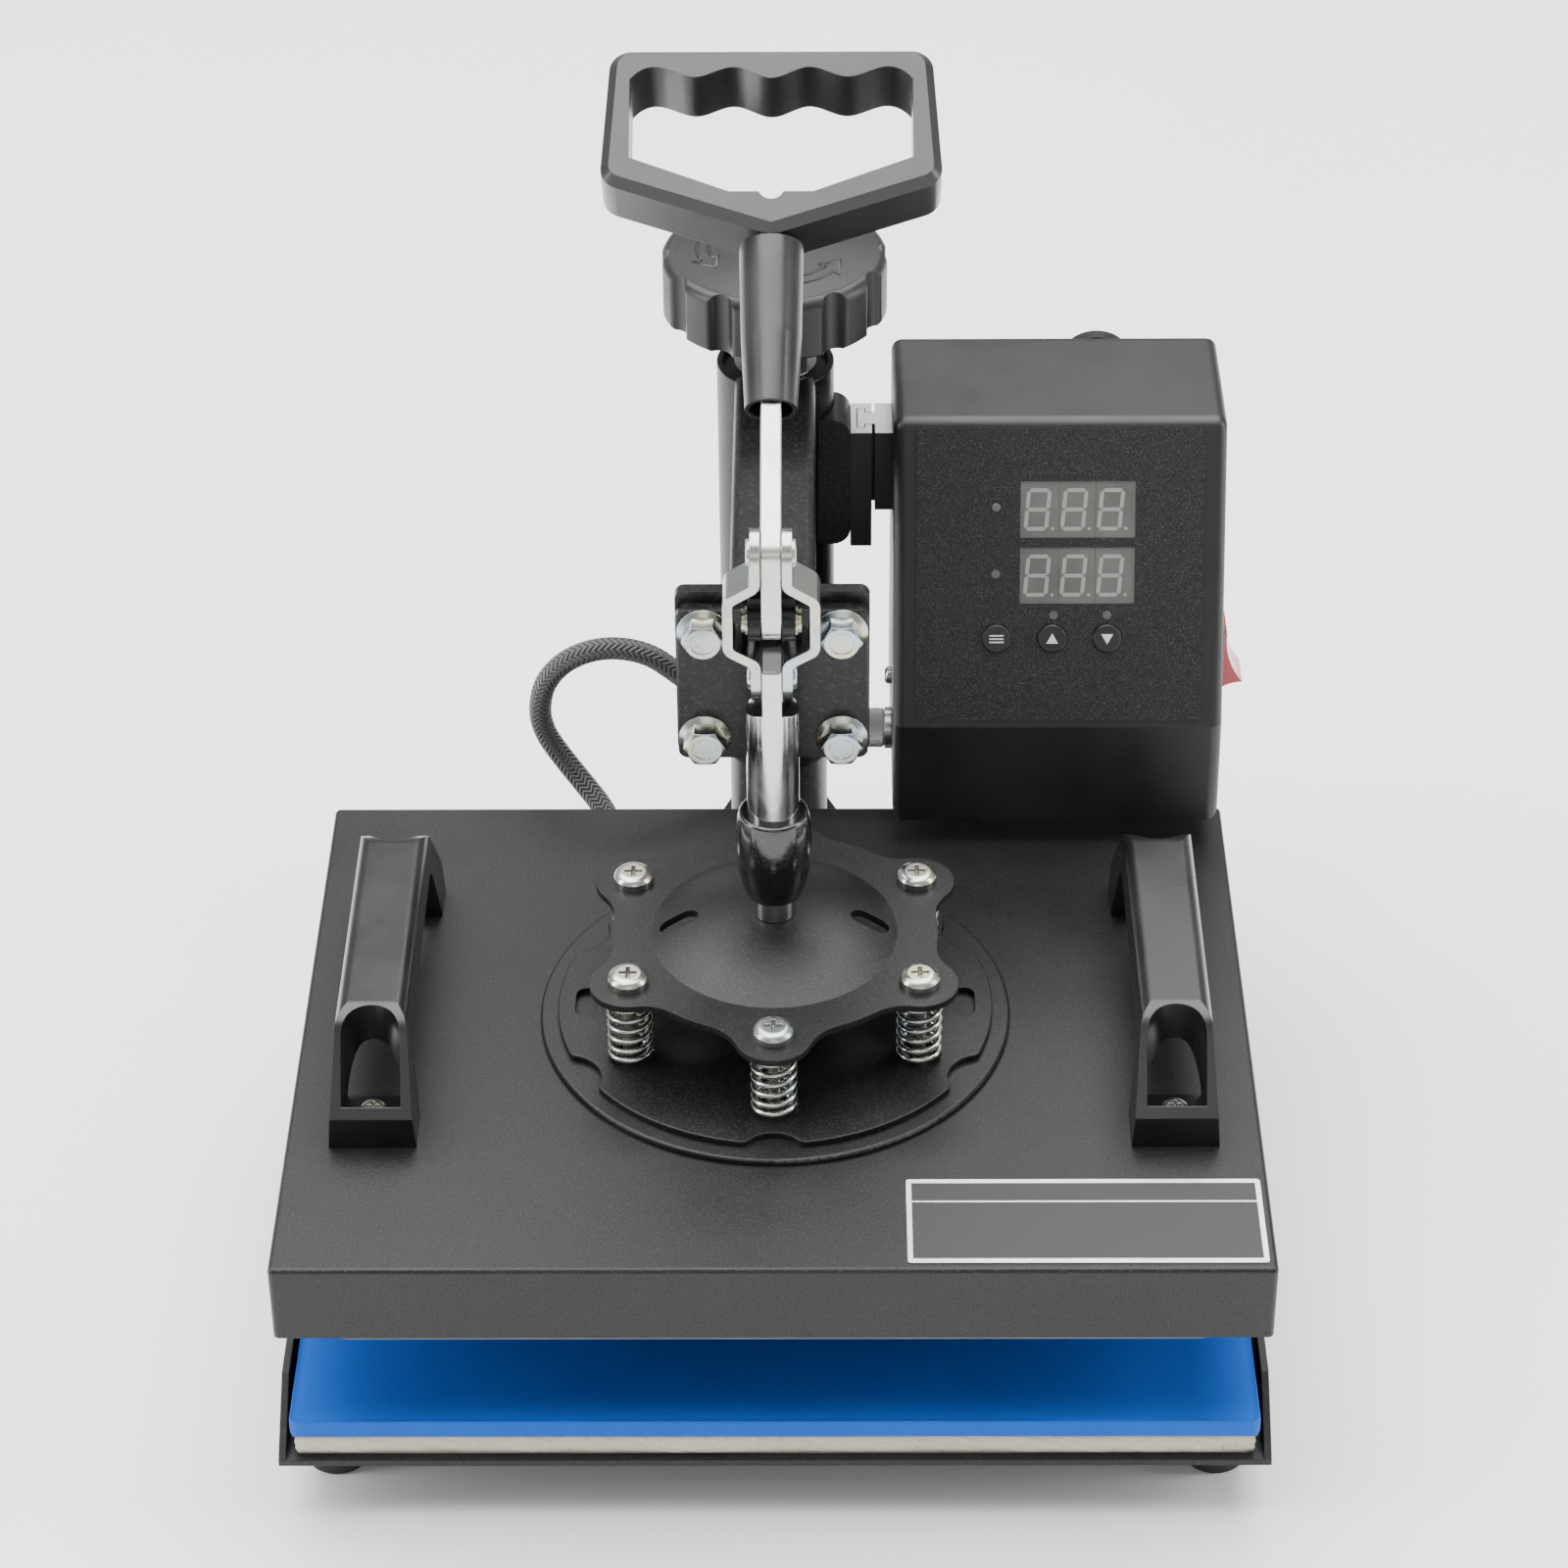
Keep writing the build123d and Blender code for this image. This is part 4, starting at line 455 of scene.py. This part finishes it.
# Black tones: each pair is the plain coat and its lighter patches.
JET = (0.0035, 0.0035, 0.0037)
JET_WORN = (0.0065, 0.0065, 0.0067)
PITCH = (0.004, 0.004, 0.0043)
PITCH_WORN = (0.008, 0.008, 0.0083)
EBONY = (0.006, 0.006, 0.0063)
EBONY_WORN = (0.011, 0.011, 0.0114)
BLACK_COAT = powder_coat("coat_cover", JET, JET_WORN, 0.43)
SMOOTH_COAT = powder_coat("coat_smooth", (0.005, 0.005, 0.0053), (0.009, 0.009, 0.0094), 0.4, 900.0, 0.00004)
TRAY_COAT = powder_coat("coat_tray", PITCH, PITCH_WORN, 0.46, 1300.0, 0.00005)
ARM_COAT = powder_coat("coat_arm", PITCH, (0.0085, 0.0085, 0.0088), 0.34, 700.0, 0.00005)
SPRING_COAT = powder_coat("coat_spider", JET, JET_WORN, 0.42, 1500.0, 0.00006)
POST_COAT = powder_coat("coat_post", (0.016, 0.016, 0.0165), (0.03, 0.03, 0.031), 0.32, 800.0, 0.00004)
GUIDE_GLOSS = enamel("guide_enamel", (0.003, 0.003, 0.0033), (0.007, 0.007, 0.0073), 0.18, 420.0, 0.0003, 0.7)
HANDLE_PLASTIC = moulded("handle_plastic", (0.005, 0.005, 0.0053), (0.009, 0.009, 0.0094), 0.3, 2400.0,
                         0.00003, 0.12)
GRIP_PLASTIC = moulded("grip_plastic", PITCH_WORN, (0.014, 0.014, 0.0144), 0.3, 2200.0, 0.00003, 0.15)
KNOB_PLASTIC = moulded("knob_plastic", JET, JET_WORN, 0.4, 1700.0, 0.00006, 0.0, 0.0007)
BOX_PLASTIC = moulded("box_plastic", JET, JET_WORN, 0.42, 2300.0, 0.00004, 0.0, 0.0008)
BUTTON_PLASTIC = moulded("button_plastic", EBONY, EBONY_WORN, 0.34, 2600.0, 0.00003)
SWITCH_PLASTIC = moulded("switch_plastic", PITCH, PITCH_WORN, 0.3, 2000.0, 0.00003)
RUBBER = moulded("foot_rubber", (0.012, 0.012, 0.012), (0.022, 0.022, 0.022), 0.7, 1500.0, 0.00008)
LAMP_LENS = moulded("lamp_lens", (0.05, 0.05, 0.052), (0.085, 0.085, 0.087), 0.3, 1500.0, 0.00002, 0.3)
BOARD = moulded("circuit_green", (0.01, 0.06, 0.025), (0.015, 0.09, 0.035), 0.4, 900.0, 0.00003)
ZINC = plated("zinc", (0.5, 0.5, 0.495), 0.24, marks=0.55)
BOLT_ZINC = plated("bolt_zinc", (0.46, 0.455, 0.435), 0.22, marks=0.65, tint=0.08)
LEVER_ZINC = plated("lever_zinc", (0.6, 0.6, 0.6), 0.26, (1.0, 1.0, 0.08), 0.42, 0.03)
LINK_ZINC = plated("link_zinc", (0.48, 0.485, 0.495), 0.2, (1.0, 1.0, 0.12), 0.5, 0.04)
SPRING_ZINC = plated("spring_zinc", (0.5, 0.505, 0.5), 0.2, marks=0.45)
CHROME = plated("rod_chrome", (0.58, 0.58, 0.59), 0.1, (1.0, 1.0, 0.05), 0.25, 0.01)
BRONZE = plated("bush_bronze", (0.5, 0.33, 0.18), 0.35)
ALUMINIUM = cut_profile()
CAST_PLATE = brushed_sheet("cast_plate", (0.14, 0.14, 0.145), (1.0, 0.3, 1.0), 0.5)
LABEL_SILVER = brushed_sheet("label_silver", (0.7, 0.7, 0.71), (0.05, 1.0, 1.0), 0.28)
FIELD_BLACK = pale_print("label_field", (0.012, 0.012, 0.0125))
SILICONE = silicone()
FELT = felt()
BRAID = braid()
KNURL = knurled(172 * MM, 167 * MM)
FILM = overlay_film()
WINDOW = display_window()
SEGMENT = pale_print("segment_print", (0.27, 0.262, 0.25))
GLYPH = pale_print("glyph_print", (0.62, 0.62, 0.61))
RED = red_switch()
WOOL = felt()

FINISHES = {
    "base_rails": TRAY_COAT, "base_crossbars": TRAY_COAT, "post_plate": TRAY_COAT, "post_tube": POST_COAT,
    "post_nut": ZINC, "lower_tray": TRAY_COAT, "rubber_feet": RUBBER, "base_screws": ZINC,
    "thrust_washer": ZINC, "pressure_knob": KNOB_PLASTIC, "pressure_spindle": ZINC,
    "arm_sleeve": ARM_COAT, "arm_bushes": BRONZE, "arm_beam": ARM_COAT, "arm_flange": ARM_COAT,
    "toggle_plate": ARM_COAT, "clevis_ears": ARM_COAT, "pivot_pin": BOLT_ZINC, "plate_bolts": BOLT_ZINC,
    "guide_sleeve": GUIDE_GLOSS, "box_tab": ARM_COAT, "fixed_rail": ALUMINIUM, "slider_rail": ALUMINIUM,
    "box_front_shell": BOX_PLASTIC, "box_back_cover": SMOOTH_COAT, "box_screws": ZINC, "overlay_panel": FILM,
    "digit_displays": WINDOW, "indicator_lamps": LAMP_LENS, "circuit_board": BOARD,
    "switch_housing": SWITCH_PLASTIC, "cord_gland": SWITCH_PLASTIC, "connector_socket": ZINC,
    "connector_plug": KNURL, "lever_bar": LEVER_ZINC, "grip_handle": GRIP_PLASTIC, "toggle_links": LINK_ZINC,
    "toggle_rivets": ZINC, "plunger_rod": CHROME, "spider_plate": SPRING_COAT,
    "spring_seat_plate": SPRING_COAT, "pressure_disc": BLACK_COAT, "platen_cover": BLACK_COAT,
    "heater_plate": CAST_PLATE, "heating_element": ZINC, "insulation_pad": WOOL,
    "carry_handle_left": HANDLE_PLASTIC, "carry_handle_right": HANDLE_PLASTIC, "handle_screws": ZINC,
    "spring_screws": ZINC, "platen_springs": SPRING_ZINC, "cable_grommet": RUBBER,
    "label_plate": LABEL_SILVER,
    "set_button": BUTTON_PLASTIC, "up_button": BUTTON_PLASTIC, "down_button": BUTTON_PLASTIC, "rocker": RED,
}
for node_name, finish_material in FINISHES.items():
    shape = nodes[node_name].data
    if not shape.materials:
        shape.materials.append(finish_material)
    for index in range(len(shape.materials)):
        shape.materials[index] = finish_material


# ---------------------------------------------------------------- cable piece
cable, cable_length = tube_along("braided_cable", cable_points, CABLE_R, 28)
cable.data.materials.append(BRAID)
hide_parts("heater_cable")
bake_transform(cable)


# ---------------------------------------------------------------- springs
def coil_springs(name, centres, floor_z, rise, coil_r, wire_r, turns, sides=12, steps=30):
    """Compression springs with closed end turns, all in one mesh."""
    verts, faces = [], []
    end_rise = 2.06 * wire_r
    for centre_x, centre_y in centres:
        start = len(verts)
        rows = turns * steps + 1
        for k in range(rows):
            done = k / steps
            middle = (rise - 2 * end_rise) / (turns - 2)
            height = min(done, 1.0) * end_rise + max(0.0, min(done, turns - 1.0) - 1.0) * middle
            height += max(0.0, done - turns + 1.0) * end_rise
            angle = 2 * math.pi * done
            out = Vector((math.cos(angle), math.sin(angle), 0.0))
            for c in range(sides):
                turn = 2 * math.pi * c / sides
                centre = Vector((centre_x, centre_y, floor_z + height))
                point = out * (coil_r + wire_r * math.cos(turn)) + centre
                point.z += wire_r * math.sin(turn)
                verts.append(point)
        for k in range(rows - 1):
            row = start + k * sides
            for c in range(sides):
                after = (c + 1) % sides
                faces.append((row + c, row + sides + c, row + sides + after, row + after))
        faces.append(tuple(range(start, start + sides)))
        last = start + (rows - 1) * sides
        faces.append(tuple(reversed(range(last, last + sides))))
    return mesh_piece(name, verts, faces)


spring_low, spring_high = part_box("platen_springs")
spring_half = (spring_high.x - spring_low.x) / 2
WIRE_R = 1.3 * MM
COIL_R = 8.5 * MM
SPRING_COUNT = 6
SPRING_TURNS = 7
END_PLAY = 0.1 * MM
first_spring = math.pi / SPRING_COUNT
ring_r = (spring_half - COIL_R - WIRE_R) / math.cos(first_spring)
ring_angles = [first_spring + 2 * math.pi * k / SPRING_COUNT for k in range(SPRING_COUNT)]
ring_centres = [(ring_r * math.cos(a), ring_r * math.sin(a)) for a in ring_angles]
spring_rise = spring_high.z - spring_low.z - 2 * WIRE_R - END_PLAY
springs = coil_springs("coil_springs", ring_centres, spring_low.z + WIRE_R, spring_rise, COIL_R, WIRE_R,
                       SPRING_TURNS)
dress(springs, SPRING_ZINC, "platen")
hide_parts("platen_springs")
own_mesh(springs)


# ---------------------------------------------------------------- pads
def slab(name, node, cells, edge, corner, ripple, side_ripple, seed):
    """Slab with soft edges inside a node's box. The rim pulls in a little and is never quite straight."""
    rng = random.Random(seed)
    waves = [(rng.uniform(20, 90), rng.uniform(0, 6.28), rng.uniform(0.3, 1.0)) for _ in range(7)]
    fine = [(rng.uniform(150, 520), rng.uniform(0, 6.28), rng.uniform(0.2, 1.0)) for _ in range(9)]

    def wander(s, group):
        return sum(w * math.sin(f * s + p) for f, p, w in group) / sum(w for _, _, w in group)

    low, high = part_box(node)
    centre = (low + high) / 2
    half = (high - low) / 2
    mesh = bmesh.new()
    bmesh.ops.create_cube(mesh, size=2.0)
    bmesh.ops.subdivide_edges(mesh, edges=mesh.edges[:], cuts=cells, use_grid_fill=True)
    for vert in mesh.verts:
        x, y, z = vert.co
        px, py, pz = x * half.x, y * half.y, z * half.z
        inner_x, inner_y, inner_z = half.x - corner, half.y - corner, half.z - edge
        dx, dy = max(abs(px) - inner_x, 0.0), max(abs(py) - inner_y, 0.0)
        flat = math.hypot(dx, dy)
        if flat > corner:
            px = math.copysign(inner_x + dx * corner / flat, px) if dx else px
            py = math.copysign(inner_y + dy * corner / flat, py) if dy else py
            dx, dy = max(abs(px) - inner_x, 0.0), max(abs(py) - inner_y, 0.0)
        rim = max(abs(px) - (half.x - edge), abs(py) - (half.y - edge), 0.0)
        dz = max(abs(pz) - inner_z, 0.0)
        if rim > 0 and dz > 0:
            reach = math.hypot(rim, dz)
            if reach > edge:
                pull = edge * (1 - edge / reach) * 0.9
                px -= math.copysign(pull, px) if abs(px) > half.x - edge else 0.0
                py -= math.copysign(pull, py) if abs(py) > half.y - edge else 0.0
                pz -= math.copysign(pull, pz)
        on_rim = max(abs(x), abs(y)) > 0.999
        if on_rim:
            along = px if abs(y) > 0.999 else py
            pull = side_ripple * (0.5 + 0.5 * wander(along + 0.37 * pz, waves))
            pull += side_ripple * 0.6 * (0.5 + 0.5 * wander(along * 1.3 + 5 * pz, fine))
            bulge = side_ripple * 0.6 * (pz / half.z) ** 2
            if abs(x) > 0.999:
                px -= math.copysign(pull + bulge, px)
            if abs(y) > 0.999:
                py -= math.copysign(pull + bulge, py)
        if z > 0.99:
            pz -= ripple * (0.5 + 0.5 * wander(px + 0.8 * py, waves))
        vert.co = centre + Vector((px, py, pz))
    data = bpy.data.meshes.new(name)
    mesh.to_mesh(data)
    mesh.free()
    for face in data.polygons:
        face.use_smooth = True
    return add_object(name, data)


mat = slab("silicone_pad", "silicone_mat", 110, 0.0014, 0.003, 0.0002, 0.00025, 3)
dress(mat, SILICONE, "base")
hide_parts("silicone_mat")
pad = slab("felt_layer", "felt_pad", 130, 0.0018, 0.003, 0.0, 0.0017, 8)
dress(pad, FELT, "base")
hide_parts("felt_pad")


# ---------------------------------------------------------------- control panel print
PANEL_ORIGIN = Vector((123.7, 149.175, 264.0)) * MM
PANEL_OUT = Vector((0, -0.926, 0.3774)).normalized()
PANEL_X = Vector((1, 0, 0))
PANEL_Y = PANEL_OUT.cross(PANEL_X)


def on_panel(u, v, lift):
    return PANEL_ORIGIN + (PANEL_X * u + PANEL_Y * v + PANEL_OUT * lift) * MM


def raised(name, outlines, low, high, place):
    """Flat prisms with the given outlines, raised from low to high on the surface that place gives."""
    verts, faces = [], []
    for outline in outlines:
        start, count = len(verts), len(outline)
        verts += [place(u, v, high) for u, v in outline]
        verts += [place(u, v, low) for u, v in outline]
        faces.append(tuple(range(start, start + count)))
        for k in range(count):
            after = (k + 1) % count
            faces.append((start + after, start + k, start + count + k, start + count + after))
    return mesh_piece(name, verts, faces, smooth=False)


def segment_outlines(cx, cy, w, h, t, slant):
    """Seven bars of one digit, each a long hexagon, and its point."""
    bars = []
    gap = 0.22

    def skew(points):
        return [(cx + x + slant * y, cy + y) for x, y in points]

    def level(y):
        a, b = -w / 2 + gap, w / 2 - gap
        return skew([(a, y), (a + t / 2, y - t / 2), (b - t / 2, y - t / 2), (b, y), (b - t / 2, y + t / 2),
                     (a + t / 2, y + t / 2)])

    def upright(x, y0, y1):
        a, b = y0 + gap, y1 - gap
        return skew([(x, a), (x + t / 2, a + t / 2), (x + t / 2, b - t / 2), (x, b),
                     (x - t / 2, b - t / 2), (x - t / 2, a + t / 2)])

    for y in (h / 2, 0, -h / 2):
        bars.append(level(y))
    for x in (-w / 2, w / 2):
        bars.append(upright(x, 0, h / 2))
        bars.append(upright(x, -h / 2, 0))
    dot = [(cx + w / 2 + 2.1 + 0.75 * math.cos(a), cy - h / 2 + 0.75 * math.sin(a))
           for a in (k * math.pi / 5 for k in range(10))]
    bars.append(dot)
    return bars


WINDOW_U = 7.7
WINDOW_ROWS = (29, -0.2)
DIGIT_STEP = 15.9
DIGIT_SHIFT = -1.6
DIGIT_W = 9.0
DIGIT_H = 17.0
BAR_W = 1.7
DIGIT_SLANT = 0.09
digits = []
for window_v in WINDOW_ROWS:
    for step in (-1, 0, 1):
        digit_u = WINDOW_U + DIGIT_STEP * step + DIGIT_SHIFT
        digits += segment_outlines(digit_u, window_v, DIGIT_W, DIGIT_H, BAR_W, DIGIT_SLANT)
dress(raised("digit_segments", digits, 0.3, 0.36, on_panel), SEGMENT, "arm")

JOINT_HALF = 0.15
JOINT_SHIFT = -0.25
WINDOW_HALF_V = 12.4
frames = []
for window_v in WINDOW_ROWS:
    low_v, high_v = window_v - WINDOW_HALF_V, window_v + WINDOW_HALF_V
    for side in (-1, 1):
        joint_u = WINDOW_U + side * DIGIT_STEP / 2 + JOINT_SHIFT
        left_u, right_u = joint_u - JOINT_HALF, joint_u + JOINT_HALF
        frames.append([(left_u, low_v), (right_u, low_v), (right_u, high_v), (left_u, high_v)])
dress(raised("digit_joints", frames, 0.3, 0.32, on_panel), BOARD, "arm")

BUTTON_LIFT = 2.1
BUTTON_V = -28
GLYPHS = {  # button: the piece's name, its place along the row, and its outlines
    "set_button": ("set_symbol", -27.3, [[(-3.1, 1.15), (3.1, 1.15), (3.1, 1.75), (-3.1, 1.75)],
                                         [(-3.1, -0.3), (3.1, -0.3), (3.1, 0.3), (-3.1, 0.3)],
                                         [(-3.1, -1.75), (3.1, -1.75), (3.1, -1.15), (-3.1, -1.15)]]),
    "up_button": ("up_symbol", -3, [[(-2.6, -2.1), (2.6, -2.1), (0, 2.5)]]),
    "down_button": ("down_symbol", 21, [[(-2.6, 2.1), (0, -2.5), (2.6, 2.1)]]),
}
for button, (symbol, button_u, shapes) in GLYPHS.items():
    moved = [[(button_u + x, BUTTON_V + y) for x, y in shape] for shape in shapes]
    dress(raised(symbol, moved, BUTTON_LIFT, BUTTON_LIFT + 0.05, on_panel), GLYPH, button)


# ---------------------------------------------------------------- label fields
LABEL_TOP = 140.5


def on_label(x, y, lift):
    return Vector((x, y, LABEL_TOP + lift)) * MM


FIELD_LEFT = 55.6
FIELD_RIGHT = 194.4
FIELD_ROWS = ((-121.0, -110.4), (-155.4, -122.0))
fields = [[(FIELD_RIGHT, low_y), (FIELD_RIGHT, high_y), (FIELD_LEFT, high_y), (FIELD_LEFT, low_y)]
          for low_y, high_y in FIELD_ROWS]
dress(raised("label_fields", fields, -0.02, 0.06, on_label), FIELD_BLACK, "platen")


# ---------------------------------------------------------------- arrows on the knob
KNOB_TOP = 391
KNOB_Y = 216
KNOB_R = 44
DOME_H = 2.6


def knob_surface(u, v, lift):
    """Point on the knob's domed top: u, v from its axis, in mm."""
    reach = math.hypot(u, v)
    ball = (KNOB_R ** 2 + DOME_H ** 2) / (2 * DOME_H)
    height = KNOB_TOP - (ball - math.sqrt(ball ** 2 - reach ** 2))
    return Vector((u, KNOB_Y + v, height + lift)) * MM


def arc_band(centre_r, half_width, start, end, steps):
    outer = [((centre_r + half_width) * math.cos(a), (centre_r + half_width) * math.sin(a))
             for a in (start + (end - start) * k / steps for k in range(steps + 1))]
    inner = [((centre_r - half_width) * math.cos(a), (centre_r - half_width) * math.sin(a))
             for a in (start + (end - start) * k / steps for k in range(steps + 1))]
    return outer, inner


def ribbon(name, paths, half_width, lift):
    """Low raised ribs that follow closed paths on the knob's top."""
    verts, faces = [], []
    for path in paths:
        count, start = len(path), len(verts)
        for k in range(count):
            before, here, after = (Vector(path[(k + d) % count]) for d in (-1, 0, 1))
            a, b = (here - before).normalized(), (after - here).normalized()
            across = Vector((-(a + b).y, (a + b).x)).normalized()
            spread = half_width / max(0.45, across.dot(Vector((-b.y, b.x))))
            for side, up in ((-1.0, -0.05), (-0.6, lift), (0.6, lift), (1.0, -0.05)):
                point = here + across * spread * side
                verts.append(knob_surface(point.x, point.y, up))
        for k in range(count):
            row, following = start + 4 * k, start + 4 * ((k + 1) % count)
            for c in range(3):
                faces.append((row + c, following + c, following + c + 1, row + c + 1))
    return mesh_piece(name, verts, faces)


ARROW_R = 31.0
ARROW_HALF = 2.6
ARROW_FIRST = 0.35
ARROW_SWEEP = 1.05
ARROW_POINT = 1.32
arrow_paths = []
for third in range(3):
    turn = ARROW_FIRST + third * 2 * math.pi / 3
    neck = turn + ARROW_SWEEP
    tip = turn + ARROW_POINT
    outer, inner = arc_band(ARROW_R, ARROW_HALF, turn, neck, 14)
    barbs = ((ARROW_R + 2 * ARROW_HALF, neck), (ARROW_R, tip), (ARROW_R - 2 * ARROW_HALF, neck))
    head = [(reach * math.cos(angle), reach * math.sin(angle)) for reach, angle in barbs]
    arrow_paths.append(outer + head + list(reversed(inner)))
dress(ribbon("knob_arrows", arrow_paths, 0.75, 0.6), KNOB_PLASTIC, "knob")


# ---------------------------------------------------------------- floor and light
def floor_look():
    look = Look("studio_floor")
    cloud = look.noise(2.5, 3.0, 0.5)
    colour = look.ramp(cloud, (0.3, (0.93, 0.93, 0.93)), (0.7, (0.95, 0.95, 0.95)))
    return look.finish(colour, look.span(cloud, 0.75, 0.85), Specular_IOR_Level=0.2)


FLOOR_HALF = 6
corners = [(x * FLOOR_HALF, y * FLOOR_HALF, 0) for x, y in ((-1, -1), (1, -1), (1, 1), (-1, 1))]
floor = mesh_piece("floor", corners, [(0, 1, 2, 3)])
floor.data.materials.append(floor_look())


def area_light(name, place, target, size, power, tone=(1.0, 1.0, 1.0)):
    data = bpy.data.lights.new(name, "AREA")
    data.shape = "RECTANGLE"
    data.size, data.size_y = size
    data.energy = power
    data.color = tone
    lamp = bpy.data.objects.new(name, data)
    bpy.context.scene.collection.objects.link(lamp)
    lamp.location = place
    lamp.rotation_mode = "QUATERNION"
    lamp.rotation_quaternion = (Vector(target) - Vector(place)).to_track_quat("-Z", "Y")


area_light("key_top", (-0.2, 0.7, 3.0), (0, 0.1, 0.1), (4.0, 3.6), 330)
area_light("left_bank", (-2.0, -0.4, 1.1), (0, 0, 0.2), (0.6, 1.7), 34)
area_light("right_bank", (2.0, -0.1, 1.0), (0, 0, 0.25), (0.5, 1.5), 26)
area_light("front_fill", (0.2, -2.4, 1.4), (0, 0, 0.15), (1.4, 0.8), 5)

world = bpy.data.worlds.new("studio")
bpy.context.scene.world = world
world.use_nodes = True
sky = world.node_tree.nodes["Background"]
sky.inputs["Color"].default_value = (1.0, 1.0, 1.0, 1.0)
sky.inputs["Strength"].default_value = 0.55
